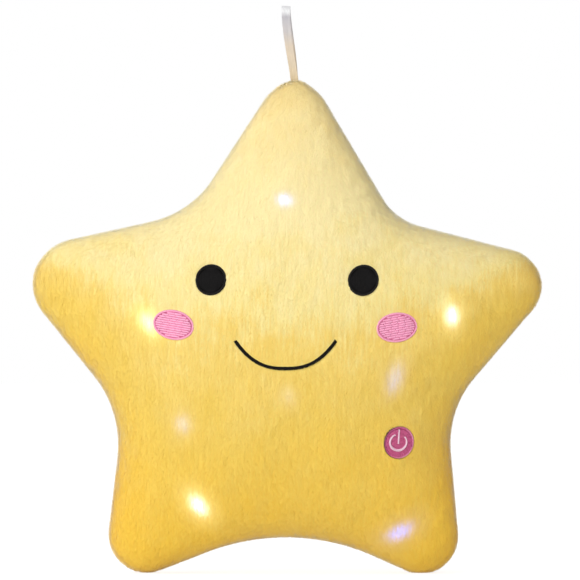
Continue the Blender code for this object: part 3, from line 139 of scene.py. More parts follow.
def as_bmesh(places, faces):
    bm = bmesh.new()
    verts = [bm.verts.new(tuple(p)) for p in places]
    for face in faces:
        bm.faces.new([verts[n] for n in face])
    return bm


def cut(bm, point, normal):
    geom = bm.verts[:] + bm.edges[:] + bm.faces[:]
    bmesh.ops.bisect_plane(bm, geom=geom, plane_co=point, plane_no=normal, dist=1e-6)


# Materials

class Paint:
    """A material being made, with short ways to add what it needs."""

    def __init__(self, name, roughness, **sockets):
        self.material = bpy.data.materials.new(name)
        self.material.use_nodes = True
        self.tree = self.material.node_tree
        self.bsdf = self.tree.nodes["Principled BSDF"]
        self.bsdf.inputs["Roughness"].default_value = roughness
        for socket, value in sockets.items():
            self.bsdf.inputs[socket.replace("_", " ")].default_value = value
        self.place = self.tree.nodes.new("ShaderNodeTexCoord").outputs["Object"]

    def add(self, kind, inputs=(), output=0, **settings):
        made = self.tree.nodes.new("ShaderNode" + kind)
        for key, value in settings.items():
            setattr(made, key, value)
        for socket, value in dict(inputs).items():
            if isinstance(value, bpy.types.NodeSocket):
                self.tree.links.new(value, made.inputs[socket])
            else:
                made.inputs[socket].default_value = value
        return made.outputs[output]

    def noise(self, scale, detail=2.0, stretch=(1, 1, 1)):
        drawn = self.vector("MULTIPLY", self.place, stretch)
        return self.add("TexNoise", {"Vector": drawn, "Scale": scale, "Detail": detail}, "Fac")

    def wave(self, scale, direction):
        inputs = {"Vector": self.place, "Scale": scale, "Detail": 1.0}
        return self.add("TexWave", inputs, "Fac", bands_direction=direction)

    def vector(self, operation, first, second):
        inputs = {0: first, "Scale" if operation == "SCALE" else 1: second}
        return self.add("VectorMath", inputs, int(operation == "DOT_PRODUCT"), operation=operation)

    def spread(self, value, low, high, start=0.0, end=1.0, kind="LINEAR"):
        """Spreads the values from low to high over start to end."""
        return self.add("MapRange", {0: value, 1: low, 2: high, 3: start, 4: end}, interpolation_type=kind)

    def axes(self):
        return self.add("SeparateXYZ", {0: self.place}).node.outputs

    def ramp(self, factor, *stops):
        """A colour for each value, between stops of a place from 0 to 1 and a colour as a picture shows it."""
        made = self.tree.nodes.new("ShaderNodeValToRGB")
        points = made.color_ramp.elements
        while len(points) < len(stops):
            points.new(0.5)
        for point, (position, *colour) in zip(points, stops):
            point.position = position
            point.color = linear(*colour)
        self.tree.links.new(factor, made.inputs[0])
        return made.outputs[0]

    def mix(self, factor, first, second):
        return self.add("Mix", {0: factor, 6: first, 7: second}, 2, data_type="RGBA")

    def maths(self, operation, first, second=0.0, clamp=False):
        return self.add("Math", {0: first, 1: second}, operation=operation, use_clamp=clamp)

    def colour(self, socket):
        self.tree.links.new(socket, self.bsdf.inputs["Base Color"])

    def rough(self, factor, low, high):
        self.tree.links.new(self.spread(factor, 0.0, 1.0, low, high), self.bsdf.inputs["Roughness"])

    def bump(self, height, distance):
        inputs = {"Strength": 1.0, "Distance": distance, "Height": height}
        self.tree.links.new(self.add("Bump", inputs), self.bsdf.inputs["Normal"])


def plain(name, low, high, roughness, scale=400, **sockets):
    """A moulded, drawn or plated material: two close colours, uneven gloss and a fine surface."""
    paint = Paint(name, roughness, **sockets)
    grain = paint.noise(scale, 3.0)
    paint.colour(paint.mix(grain, linear(*low), linear(*high)))
    paint.rough(paint.noise(scale / 9, 2.0), roughness - 0.07, roughness + 0.09)
    paint.bump(grain, 0.00004)
    return paint.material


def plush_paint(name, nap):
    """The yellow plush: cream on the upper middle, golden low down and at the tips, streaked along the nap.
    The paler cream up in the middle is partly painted highlight, a grey-blue sheen is painted on where the surface
    turns away from view, and the glow of the lamps under it is painted on as emitted light, with a faint even glow
    over all of it."""
    paint = Paint(name, 0.9, Sheen_Weight=0.9, Sheen_Roughness=0.32, Specular_IOR_Level=0.1,
                  Sheen_Tint=(0.90, 0.94, 1.0, 1.0))
    x, y, z = paint.axes()
    up = paint.spread(z, 0.0, 0.33)
    aside = paint.maths("ABSOLUTE", x)
    arm = paint.spread(aside, 0.070, 0.140, 0.0, 0.27, "SMOOTHSTEP")
    arm_rim = paint.add("Math", {0: aside, 1: 0.6, 2: 0.1085}, operation="MULTIPLY_ADD")
    below = paint.spread(paint.maths("SUBTRACT", arm_rim, z), -0.030, 0.028, kind="SMOOTHSTEP")
    arm = paint.maths("MULTIPLY", arm, below)
    arm = paint.maths("MULTIPLY", arm, paint.spread(y, -0.005, 0.030, 1.0, 0.35))
    wander = paint.maths("SUBTRACT", paint.noise(19, 3.0), 0.5)
    cloud = paint.maths("SUBTRACT", paint.noise(70, 4.0, (1, 1, 0.7)), 0.5)
    drift = paint.maths("ADD", paint.maths("MULTIPLY", wander, 0.26), paint.maths("MULTIPLY", cloud, 0.24))
    streak = paint.noise(1.0, 3.0, (520, 520, 60))
    drift = paint.maths("ADD", drift, paint.maths("MULTIPLY", paint.maths("SUBTRACT", streak, 0.5), 0.20))
    up = paint.maths("ADD", paint.maths("SUBTRACT", up, arm), drift, clamp=True)
    # Partly the plush's own tone and partly painted light: the paler cream up in the middle is painted highlight.
    body = paint.ramp(
        up,
        (0.0, 253, 215, 84),
        (0.12, 250, 215, 94),
        (0.30, 246, 216, 106),
        (0.45, 249, 223, 128),
        (0.56, 252, 236, 163),
        (0.70, 254, 241, 186),
        (0.84, 254, 240, 184),
        (1.0, 250, 231, 166),
    )
    tone = paint.spread(streak, 0.25, 0.75, 0.965, 1.03)
    if nap:
        tuft = paint.noise(1.0, 2.0, (1700, 1700, 420))
        tone = paint.maths("MULTIPLY", tone, paint.spread(tuft, 0.2, 0.8, 0.93, 1.045))
    toned = paint.vector("SCALE", body, tone)
    # Painted sheen: the colour turns grey-blue where the surface turns away from view.
    facing = paint.add("LayerWeight", {0: 0.5}, "Facing")
    painted_sheen = paint.maths("MULTIPLY", paint.maths("POWER", facing, 2.0), 0.30)
    paint.colour(paint.mix(painted_sheen, toned, (0.60, 0.65, 0.70, 1.0)))
    # Painted light: a glow with core and halo over each lamp inside, emitted by the plush itself.
    glow = None
    for place, core, power, reach, halo, soft, spread, slant, stretch in LAMPS:
        off = paint.vector("SUBTRACT", paint.place, place)
        heading = (math.cos(math.radians(slant)), 0.0, -math.sin(math.radians(slant)))
        along = paint.vector("DOT_PRODUCT", off, heading)
        drawn = paint.vector("SCALE", heading, paint.maths("MULTIPLY", along, 1 - 1 / stretch))
        far = paint.add("VectorMath", {0: paint.vector("SUBTRACT", off, drawn)}, 1, operation="LENGTH")
        light = None
        for colour, strength, radius, falloff in ((core, power, reach, 2.8), (halo, soft, spread, 1.8)):
            near = paint.spread(far, radius, 0.0, kind="SMOOTHSTEP")
            near = paint.maths("MULTIPLY", paint.maths("POWER", near, falloff), strength)
            near = paint.vector("SCALE", colour, near)
            light = paint.vector("ADD", light, near) if light else near
        glow = paint.vector("ADD", glow, light) if glow else light
    # The painted glow, broken up along the pile, plus a faint even glow of the plush's own colour painted over all of
    # it.
    speck = paint.spread(paint.noise(1.0, 2.0, (700, 700, 100)), 0.3, 0.7, 0.60, 1.30)
    glow = paint.vector("ADD", paint.vector("SCALE", glow, speck), paint.vector("SCALE", toned, 0.10))
    paint.tree.links.new(glow, paint.bsdf.inputs["Emission Color"])
    paint.bsdf.inputs["Emission Strength"].default_value = 1.0
    if not nap:
        paint.bump(paint.noise(1.0, 3.0, (2200, 2200, 700)), 0.0006)
    return paint.material


def thread_paint(name, dark, light, roughness=0.5, gloss=0.3):
    """Embroidery thread: fine filaments, lighter where the strand is worn or turned."""
    paint = Paint(name, roughness, Specular_IOR_Level=gloss)
    shade = paint.noise(900, 2.0)
    strand = paint.noise(260, 1.0)
    wear_and_shade = paint.maths("MULTIPLY", paint.maths("ADD", shade, strand), 0.5)
    paint.colour(paint.mix(wear_and_shade, linear(*dark), linear(*light)))
    paint.rough(shade, roughness - 0.1, roughness + 0.14)
    paint.bump(paint.noise(4200, 1.0), 0.00006)
    return paint.material


def rim_shade_paint():
    """The patch's border: pink thread with painted shade, dark purple on the left, where the pile overhangs it, and a
    painted highlight, light pink on the right.
    """
    paint = Paint("thread_rim", 0.5, Specular_IOR_Level=0.3)
    # Painted shade and highlight across the rim: dark purple on the left, light pink on the right.
    across = paint.vector("DOT_PRODUCT", paint.vector("SUBTRACT", paint.place, PATCH_POINT), (0.93, 0.0, -0.30))
    wear_and_shade = paint.maths("ADD", across, paint.maths("MULTIPLY", paint.noise(420), 0.004))
    side = paint.spread(wear_and_shade, -0.008, 0.010)
    paint.colour(paint.ramp(side, (0.0, 144, 66, 104), (0.30, 188, 86, 134),
                            (0.55, 216, 108, 154), (1.0, 240, 156, 190)))
    paint.bump(paint.noise(4200, 1.0), 0.00006)
    return paint.material


def woven_paint(name, low, high, roughness, pitch, **sockets):
    """Plain weave: two crossing sets of threads, with uneven colour."""
    paint = Paint(name, roughness, **sockets)
    weave = paint.maths("MULTIPLY", paint.wave(1.0 / pitch / 2, "X"), paint.wave(1.0 / pitch / 2, "Z"))
    tone = paint.maths("ADD", paint.maths("MULTIPLY", weave, 0.5), paint.maths("MULTIPLY", paint.noise(160), 0.5))
    paint.colour(paint.mix(tone, linear(*low), linear(*high)))
    paint.rough(paint.noise(90), roughness - 0.06, roughness + 0.08)
    paint.bump(weave, 0.00012)
    return paint.material


def satin_paint():
    """Satin ribbon: lengthwise warp lines, pale grey above, with a painted highlight across the fold at the top and
    the warm light of the plush painted on low down.
    """
    paint = Paint("ribbon_satin", 0.42, Specular_IOR_Level=0.35)
    # Painted light by height: warm reflected plush light low down, and a painted highlight across the fold near the
    # top.
    body = paint.ramp(
        paint.spread(paint.axes()[2], 0.3285, 0.3790),
        (0.0, 222, 204, 172),
        (0.45, 219, 203, 182),
        (0.64, 202, 196, 194),
        (0.84, 188, 185, 189),
        (0.91, 232, 232, 232),
        (1.0, 222, 222, 224),
    )
    line = paint.noise(1.0, 2.0, (2600, 900, 60))
    paint.colour(paint.vector("SCALE", body, paint.spread(line, 0.3, 0.7, 0.88, 1.06)))
    paint.bump(line, 0.00008)
    return paint.material


plush = plush_paint("plush_backing", False)
nap_yellow = plush_paint("plush_nap", True)
thread_black = thread_paint("thread_black", (5, 4, 4), (17, 15, 15), 0.55, 0.14)
thread_black_edge = thread_paint("thread_black_edge", (9, 8, 8), (30, 28, 28), 0.5, 0.2)
thread_pink = thread_paint("thread_pink", (248, 162, 198), (254, 186, 214))
thread_rose = thread_paint("thread_rose", (226, 116, 162), (236, 136, 180))
thread_deep = thread_paint("thread_deep", (194, 80, 128), (224, 114, 160))
thread_rim = rim_shade_paint()
thread_pale = thread_paint("thread_pale", (234, 190, 210), (252, 230, 240))
satin = satin_paint()
tape = woven_paint("tape_weave", (226, 186, 86), (250, 220, 132), 0.85, 0.0006)
lining = woven_paint("lining_weave", (216, 208, 186), (240, 234, 218), 0.88, 0.0005)
fibre = Paint("stuffing_fibre", 0.95, Sheen_Weight=0.3)
fibre.colour(fibre.mix(fibre.noise(260, 4.0), linear(226, 226, 222), linear(250, 250, 248)))
fibre.bump(fibre.noise(700, 4.0, (1, 1, 0.4)), 0.0012)

tooth_plastic = plain("zip_plastic", (236, 200, 104), (250, 222, 140), 0.38)
zinc = plain("zip_zinc", (150, 150, 154), (182, 182, 186), 0.30, 700, Metallic=1.0)
white_abs = plain("white_abs", (224, 224, 220), (240, 240, 237), 0.42, 1400)
black_abs = plain("black_abs", (28, 28, 30), (46, 46, 48), 0.45, 1400)
board = plain("board_lacquer", (18, 92, 52), (38, 128, 76), 0.35, 900)
steel = plain("spring_steel", (150, 150, 152), (190, 190, 192), 0.28, 900, Metallic=1.0)
nickel = plain("contact_nickel", (176, 172, 162), (206, 202, 192), 0.25, 500, Metallic=1.0)
wrap = plain("cell_wrap", (30, 44, 84), (54, 72, 120), 0.30, 300)
sleeve = plain("wire_sleeve", (206, 202, 192), (230, 226, 218), 0.42, 900)
epoxy = plain("lamp_epoxy", (236, 234, 226), (252, 250, 244), 0.16, 300,
              Emission_Color=(1.0, 0.95, 0.82, 1.0), Emission_Strength=1.6)

FINISHES = {
    "lamp_wire": sleeve, "battery_lead": sleeve, "lamp": epoxy, "zip_teeth": tooth_plastic,
    "zip_top_stop": tooth_plastic, "zip_bottom_stop": tooth_plastic, "zip_slider": zinc, "zip_pull": zinc,
    "battery_case": white_abs, "battery_lid": white_abs, "lid_screw": steel, "battery_": wrap,
    "contact": nickel, "switch_housing": white_abs, "switch_bezel": white_abs, "switch_button": white_abs,
    "switch_spring": steel, "switch_key": black_abs, "circuit_board": board,
}


def finish_of(name):
    return next((FINISHES[start] for start in FINISHES if name.startswith(start)), None)


def dress_cad():
    for name, node in nodes.items():
        finish = finish_of(name)
        if finish is None:
            continue
        materials = node.data.materials
        if not materials:
            materials.append(finish)
        for number in range(len(materials)):
            materials[number] = finish


# The skin

def outline_points():
    """The star's outline, evenly spaced, clockwise from the top, drawn in by what the pile stands out."""
    corners = [Vector((x * STAR_WIDTH, z * STAR_HEIGHT)) for x, z, _ in CORNERS]
    dense = []
    for number, corner in enumerate(corners):
        before = (corners[number - 1] - corner).normalized()
        after = (corners[(number + 1) % len(corners)] - corner).normalized()
        radius = CORNERS[number][2] * STAR_WIDTH
        half = before.angle(after) / 2
        centre = corner + (before + after).normalized() * radius / math.sin(half)
        start = corner + before * radius / math.tan(half) - centre
        turn = start.angle_signed(corner + after * radius / math.tan(half) - centre)
        dense += [centre + Matrix.Rotation(-turn * step / 40, 2) @ start for step in range(41)]
    dense = np.array([tuple(p) for p in dense])
    dense[:, 1] -= dense[:, 1].min() + 0.0005
    closed = np.vstack([dense, dense[:1]])
    run = np.concatenate([[0], np.cumsum(np.linalg.norm(np.diff(closed, axis=0), axis=1))])
    even = np.linspace(0, run[-1], OUTLINE_POINTS, endpoint=False)
    points = np.column_stack([np.interp(even, run, closed[:, axis]) for axis in (0, 1)])
    ahead = np.roll(points, -1, 0) - np.roll(points, 1, 0)
    ahead /= np.linalg.norm(ahead, axis=1)[:, None]
    outward = np.column_stack([-ahead[:, 1], ahead[:, 0]])
    if ((points - CENTRE) * outward).sum() < 0:
        outward = -outward
    upward = np.clip((outward[:, 1:] - 0.2) / 0.5, 0, 1)
    tip = np.exp(-((points[:, :1] - 0.0050) / 0.0090) ** 2) * (points[:, 1:] > 0.30)
    return points - outward * (PILE_INSET + 0.0011 * upward - 0.0026 * tip)


OUTLINE = outline_points()


def ring_points():
    spokes = OUTLINE - CENTRE
    mean = np.linalg.norm(spokes, axis=1).mean()
    round_spokes = spokes / np.linalg.norm(spokes, axis=1)[:, None] * mean
    rings = []
    for step in range(RINGS):
        reach = 1 - 0.97 * (step / (RINGS - 1)) ** 1.5
        roundness = np.interp(reach, (0, .28, .49, .66, .80, .90, .965, 1), (1, .95, .62, .32, .14, .04, 0, 0))
        rings.append(CENTRE + (spokes * (1 - roundness) + round_spokes * roundness) * reach)
    return np.vstack(rings + [CENTRE[None]])


def ring_faces(count):
    faces = []
    for ring in range(RINGS - 1):
        for number in range(count):
            first = ring * count + number
            second = ring * count + (number + 1) % count
            faces += [(first, second, second + count), (first, second + count, first + count)]
    last = (RINGS - 1) * count
    faces += [(last + number, last + (number + 1) % count, RINGS * count) for number in range(count)]
    return np.array(faces)


FLAT = ring_points()
COARSE_FACES = ring_faces(OUTLINE_POINTS)
FACES = ring_faces(EDGE_POINTS)


def finer(values):
    """Twice as many points along each ring, on smooth curves."""
    rings = values[:-1].reshape(RINGS, OUTLINE_POINTS, -1)
    between = (9 * (rings + np.roll(rings, -1, 1)) - np.roll(rings, 1, 1) - np.roll(rings, -2, 1)) / 16
    doubled = np.stack([rings, between], 2).reshape(RINGS * EDGE_POINTS, -1)
    return np.vstack([doubled, values[-1:]])


def membrane():
    """The height of an evenly blown membrane held at the outline, as a share of its greatest height."""
    corners = FLAT[COARSE_FACES]
    opposite = corners[:, [2, 0, 1]] - corners[:, [1, 2, 0]]
    area = abs(opposite[:, 0, 0] * opposite[:, 1, 1] - opposite[:, 0, 1] * opposite[:, 1, 0]) / 2
    local = np.einsum("fik,fjk->fij", opposite, opposite) / (4 * area[:, None, None])
    stiffness = np.zeros((len(FLAT), len(FLAT)))
    np.add.at(stiffness, (COARSE_FACES[:, :, None], COARSE_FACES[:, None, :]), local)
    load = np.zeros(len(FLAT))
    np.add.at(load, COARSE_FACES, (area / 3)[:, None])
    height = np.zeros(len(FLAT))
    free = slice(OUTLINE_POINTS, None)
    height[free] = np.linalg.solve(stiffness[free, free], load[free])
    return (height / height.max()) ** FULLNESS


SHARE = membrane()


def waves(points, seed, length, count=24, stretch=(1, 1, 1)):
    """Smooth random field over points, about -1 to 1, with that wavelength."""
    rng = np.random.default_rng(seed)
    headings = rng.normal(size=(count, 3))
    headings /= np.linalg.norm(headings, axis=1)[:, None]
    numbers = headings * (math.tau / length * rng.uniform(0.7, 1.4, count))[:, None] / np.array(stretch)
    phases = rng.uniform(0, math.tau, count)
    return np.sin(points @ numbers.T + phases).sum(1) / math.sqrt(count / 2)


def seam_ripples():
    """Puckers along the seam, as heights at the outline that die away inwards."""
    along = np.tile(np.arange(OUTLINE_POINTS), RINGS)
    ripple = np.zeros(len(FLAT))
    for number, (turns, height) in enumerate(((41, 0.35), (57, 0.30), (73, 0.25), (29, 0.30))):
        ripple[:-1] += height * np.sin(math.tau * turns * along / OUTLINE_POINTS + 1.7 * number)
    inward = np.exp(-((SHARE - 0.30) / 0.20) ** 2)
    return ripple * inward * 0.00045


def skin_places(side):
    height = SEAM_WALL + (CROWN - SEAM_WALL) * SHARE
    if side > 0:
        over = height - (BACK_FLAT - BACK_BLEND)
        eased = height - over * over / (4 * BACK_BLEND)
        height = np.where(over <= 0, height, np.where(over >= 2 * BACK_BLEND, BACK_FLAT, eased))
    height = height + seam_ripples()
    places = np.column_stack([FLAT[:, 0], side * height, FLAT[:, 1]])
    calm = np.clip(SHARE / 0.5, 0, 1)
    lumps = waves(places, 3 if side < 0 else 4, 0.060) * 0.00045 + waves(places, 7 if side < 0 else 8, 0.022) * 0.00016
    places[:, 1] += side * (lumps - 0.0006) * calm * quiet(places, side)
    return places


def quiet(places, side):
    """1 where the stuffing shapes the skin freely, and 0 at the zip and at the patch."""
    if side > 0:
        off = np.maximum(abs(places[:, 0]) / 0.030, abs(places[:, 2] - ZIP_MIDDLE) / 0.072)
        return np.clip((off - 0.8) / 0.5, 0, 1)
    off = np.linalg.norm(places - np.array(PATCH_POINT), axis=1)
    return np.clip((off - 0.011) / 0.012, 0, 1)


def settle(front, back):
    """Blows the sewn skin up as cloth held at its seam, and gives how far each of its points moved."""
    count = len(front)
    faces = [tuple(f[::-1]) for f in COARSE_FACES] + [tuple(f + count) for f in COARSE_FACES]
    for number in range(OUTLINE_POINTS):
        following = (number + 1) % OUTLINE_POINTS
        faces += [(number, following, following + count), (number, following + count, number + count)]
    data = bpy.data.meshes.new("settling")
    data.from_pydata(np.vstack([front, back]).tolist(), [], faces)
    bag = bmesh.new()
    bag.from_mesh(data)
    bmesh.ops.recalc_face_normals(bag, faces=bag.faces)
    bag.to_mesh(data)
    bag.free()
    obj = put(bpy.data.objects.new("settling", data))
    bpy.context.view_layer.objects.active = obj
    voxels = obj.modifiers.new("voxels", "REMESH")
    voxels.mode = "VOXEL"
    voxels.voxel_size = 0.005
    bpy.ops.object.modifier_apply(modifier="voxels")
    rest = np.array([v.co for v in obj.data.vertices])
    middle = rest.mean(0)
    held = obj.vertex_groups.new(name="seam")
    held.add([int(n) for n in np.nonzero(abs(rest[:, 1]) < 0.0035)[0]], 1.0, "REPLACE")
    start = rest.copy()
    start[:, 1] *= 0.965
    start[:, [0, 2]] = middle[[0, 2]] + (start[:, [0, 2]] - middle[[0, 2]]) * 0.992
    obj.data.vertices.foreach_set("co", start.astype(np.float32).ravel())
    obj.data.update()
    cloth = obj.modifiers.new("cloth", "CLOTH")
    settings = cloth.settings
    settings.quality = 6
    settings.mass = 0.25
    settings.tension_stiffness = 12
    settings.compression_stiffness = 12
    settings.bending_stiffness = 0.35
    settings.vertex_group_mass = "seam"
    settings.use_pressure = True
    settings.uniform_pressure_force = 4
    settings.effector_weights.gravity = 0
    cloth.point_cache.frame_start = 1
    cloth.point_cache.frame_end = 20
    scene = bpy.context.scene
    for number in range(1, 21):
        scene.frame_set(number)
    shown = obj.evaluated_get(bpy.context.evaluated_depsgraph_get())
    moved = np.array([v.co for v in shown.data.vertices]) - rest
    scene.frame_set(1)
    far = np.linalg.norm(moved, axis=1)
    moved *= np.minimum(1, 0.005 / np.maximum(far, 1e-9))[:, None]
    tree = KDTree(len(rest))
    for number, place in enumerate(rest):
        tree.insert(place, number)
    tree.balance()
    bpy.data.objects.remove(obj)

    def carried(places):
        out = np.zeros_like(places)
        for number, place in enumerate(places):
            near = tree.find_n(place, 5)
            weights = np.array([1 / (distance + 0.001) for _, _, distance in near])
            out[number] = weights @ moved[[index for _, index, _ in near]] / weights.sum()
        return out

    return carried


def evened(shift):
    """A field over the skin's points, with its fine noise taken out."""
    rings = shift[:-1].reshape(RINGS, OUTLINE_POINTS, 3)
    for _ in range(8):
        along = (np.roll(rings, 1, 1) + np.roll(rings, -1, 1)) / 2
        padded = np.concatenate([rings[:1], rings, rings[-1:]])
        rings = (rings * 2 + along + (padded[:-2] + padded[2:]) / 2) / 4
    return np.vstack([rings.reshape(-1, 3), shift[-1:]])


def shaped_skins():
    front, back = skin_places(-1), skin_places(1)
    carried = settle(front, back)
    for side, places in ((-1, front), (1, back)):
        free = (quiet(places, side) * np.clip(SHARE / 0.35, 0, 1))[:, None]
        shift = evened(carried(places))
        shift[:, [0, 2]] *= np.clip(SHARE / 0.8, 0, 1)[:, None] ** 2
        shift[:, 1] -= (shift[:, 1] * SHARE).sum() / SHARE.sum()
        places += shift * free
    front[:, 1] = np.maximum(front[:, 1], -CROWN - 0.001)
    back[:, 1] = np.minimum(back[:, 1], BACK_FLAT + 0.001)
    return finer(front), finer(back)


FRONT, BACK = shaped_skins()
front_tree = BVHTree.FromPolygons([tuple(p) for p in FRONT], [tuple(int(n) for n in f) for f in FACES])


def vertex_normals(places, faces):
    corner = places[faces]
    normals = np.cross(corner[:, 1] - corner[:, 0], corner[:, 2] - corner[:, 0])
    out = np.zeros_like(places)
    for k in range(3):
        np.add.at(out, faces[:, k], normals)
    return out / np.maximum(np.linalg.norm(out, axis=1), 1e-12)[:, None]


def oriented(places, side):
    """The skin's faces, turned outwards."""
    middle = FACES[len(FACES) // 2]
    a, b, c = places[middle]
    outward = np.cross(b - a, c - a)[1] * side > 0
    return FACES if outward else FACES[:, ::-1]


FRONT_FACES, BACK_FACES = oriented(FRONT, -1), oriented(BACK, 1)


def with_turned_in_edge(places, faces, side):
    """Adds the seam allowance: the rim goes on to the seam's plane, a little inside the outline."""
    rim = places[:EDGE_POINTS].copy()
    rim[:, 1] = side * 0.0002
    toward = np.column_stack([CENTRE[0] - rim[:, 0], np.zeros(len(rim)), CENTRE[1] - rim[:, 2]])
    rim += toward / np.linalg.norm(toward, axis=1)[:, None] * 0.0012
    first = len(places)
    extra = []
    for number in range(EDGE_POINTS):
        following = (number + 1) % EDGE_POINTS
        quad = (number, following, first + following, first + number)
        extra.append(quad[::-1] if (faces[0] == FACES[0]).all() else quad)
    return np.vstack([places, rim]), [tuple(int(n) for n in f) for f in faces] + extra


def skin_piece(name, bm, node):
    data = bpy.data.meshes.new(name)
    bm.to_mesh(data)
    bm.free()
    data.shade_smooth()
    data.materials.append(plush)
    obj = put(bpy.data.objects.new(name, data))
    shell = obj.modifiers.new("fabric", "SOLIDIFY")
    shell.thickness = FABRIC
    shell.offset = -1
    shell.use_even_offset = False
    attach(obj, "root")
    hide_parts(node)


def make_front_skin():
    """The front cover with its hole for the switch patch, where the plush is turned in."""
    bm = as_bmesh(*with_turned_in_edge(FRONT, FRONT_FACES, -1))
    bm.normal_update()
    near = {f for f in bm.faces if (f.calc_center_median() - PATCH_POINT).length < 0.024}
    edges = [e for e in bm.edges if any(f in near for f in e.link_faces)]
    bmesh.ops.subdivide_edges(bm, edges=edges, cuts=5, use_grid_fill=True)
    gone = [f for f in bm.faces if past_rim(f.calc_center_median()) < -0.0001]
    bmesh.ops.delete(bm, geom=gone, context="FACES")
    for vert in bm.verts:
        short = -float(past_rim(vert.co))
        if short > 0:
            off = vert.co - PATCH_POINT
            vert.co += (off - PATCH_NORMAL * off.dot(PATCH_NORMAL)).normalized() * short
    edge = [e for e in bm.edges if e.is_boundary and past_rim((e.verts[0].co + e.verts[1].co) / 2) < 0.004]
    turned = bmesh.ops.extrude_edge_only(bm, edges=edge)["geom"]
    for vert in (part for part in turned if isinstance(part, bmesh.types.BMVert)):
        vert.co -= PATCH_NORMAL * 0.0024
    skin_piece("front_skin", bm, "front_cover")


def past_rim(place):
    """How far outside the hole for the switch patch a place is, seen along the patch's normal."""
    off = np.array(place) - np.array(PATCH_POINT)
    flat = np.stack([off @ np.array(patch_across), off @ np.array(patch_up)], axis=-1) - RIM_CENTRE
    turn = math.radians(RIM_TILT)
    u = flat[..., 0] * math.cos(turn) + flat[..., 1] * math.sin(turn)
    v = flat[..., 1] * math.cos(turn) - flat[..., 0] * math.sin(turn)
    far = np.hypot(u, v)
    edge = (RIM_WIDTH / 2 + HOLE_GAP) + (RIM_HEIGHT - RIM_WIDTH) / 2 * (v / np.maximum(far, 1e-9)) ** 2
    deep = off @ np.array(PATCH_NORMAL)
    return np.where(abs(deep) < 0.02, far - edge, 1.0)


def back_mesh():
    """Both halves of the back, cut along its seam and its slot, and drawn in at the seam."""
    bm = as_bmesh(*with_turned_in_edge(BACK, BACK_FACES, 1))
    cuts = [((x, 0, 0), (1, 0, 0)) for x in (0, -0.0007, 0.0007, -0.0018, 0.0018, -0.0035, 0.0035,
                                            -ZIP_HALF_SLOT, ZIP_HALF_SLOT, -0.0075, 0.0075)]
    cuts += [((0, 0, z), (0, 0, 1)) for z in (ZIP_LOW, ZIP_HIGH, ZIP_LOW - 0.0025, ZIP_HIGH + 0.0025)]
    for point, normal in cuts:
        cut(bm, point, normal)
    for vert in bm.verts:
        if vert.co.y < 0.004:
            continue
        aside = min(abs(vert.co.x) / 0.0036, 1)
        beyond = max(ZIP_LOW - vert.co.z, vert.co.z - ZIP_HIGH, 0)
        depth = 0.0024 * min(beyond / 0.006, 1)
        vert.co.y -= depth * (1 - aside * aside) ** 2
        slot = max(abs(vert.co.x) - ZIP_HALF_SLOT, 0) if beyond == 0 else 1
        vert.co.y -= 0.0004 * max(0, 1 - slot / 0.001)
    return bm


def in_slot(place):
    return abs(place.x) < ZIP_HALF_SLOT and ZIP_LOW < place.z < ZIP_HIGH


def make_back_skins():
    for name, sign in (("back_skin_left", -1), ("back_skin_right", 1)):
        bm = back_mesh()
        gone = [f for f in bm.faces if f.calc_center_median().x * sign < 0
                or (in_slot(f.calc_center_median()) and f.calc_center_median().y > 0.02)]
        bmesh.ops.delete(bm, geom=gone, context="FACES")
        skin_piece(name, bm, "back_cover" + name[len("back_skin"):])


# The pile

def bare_front(places):
    """Where the front carries thread instead of pile."""
    x, z = places[:, 0], places[:, 2]
    bare = np.zeros(len(places), bool)
    for cx, cz in EYES.values():
        bare |= ((x - cx) / 0.0100) ** 2 + ((z - cz) / 0.0100) ** 2 < 1
    for cx, cz, tilt in CHEEKS.values():
        c, s = math.cos(math.radians(tilt)), math.sin(math.radians(tilt))
        u, v = (x - cx) * c + (z - cz) * s, -(x - cx) * s + (z - cz) * c
        bare |= (u / 0.0134) ** 2 + (v / 0.0096) ** 2 < 1
    along = (x - MOUTH[0]) / MOUTH_HALF
    line = MOUTH[1] + MOUTH_RISE * np.abs(along) ** MOUTH_BEND
    bare |= (abs(along) < 1.0) & (abs(z - line) < 0.0010 + 0.0014 * np.abs(along) ** 2)
    return bare | (past_rim(places) < 0.0)


def bare_back(places):
    """Where the back has its zip and its seam."""
    inside = abs(places[:, 0]) < ZIP_HALF_SLOT + 0.0006
    inside &= (places[:, 2] > ZIP_LOW - 0.0006) & (places[:, 2] < ZIP_HIGH + 0.0006)
    return inside | (abs(places[:, 0]) < 0.0004)


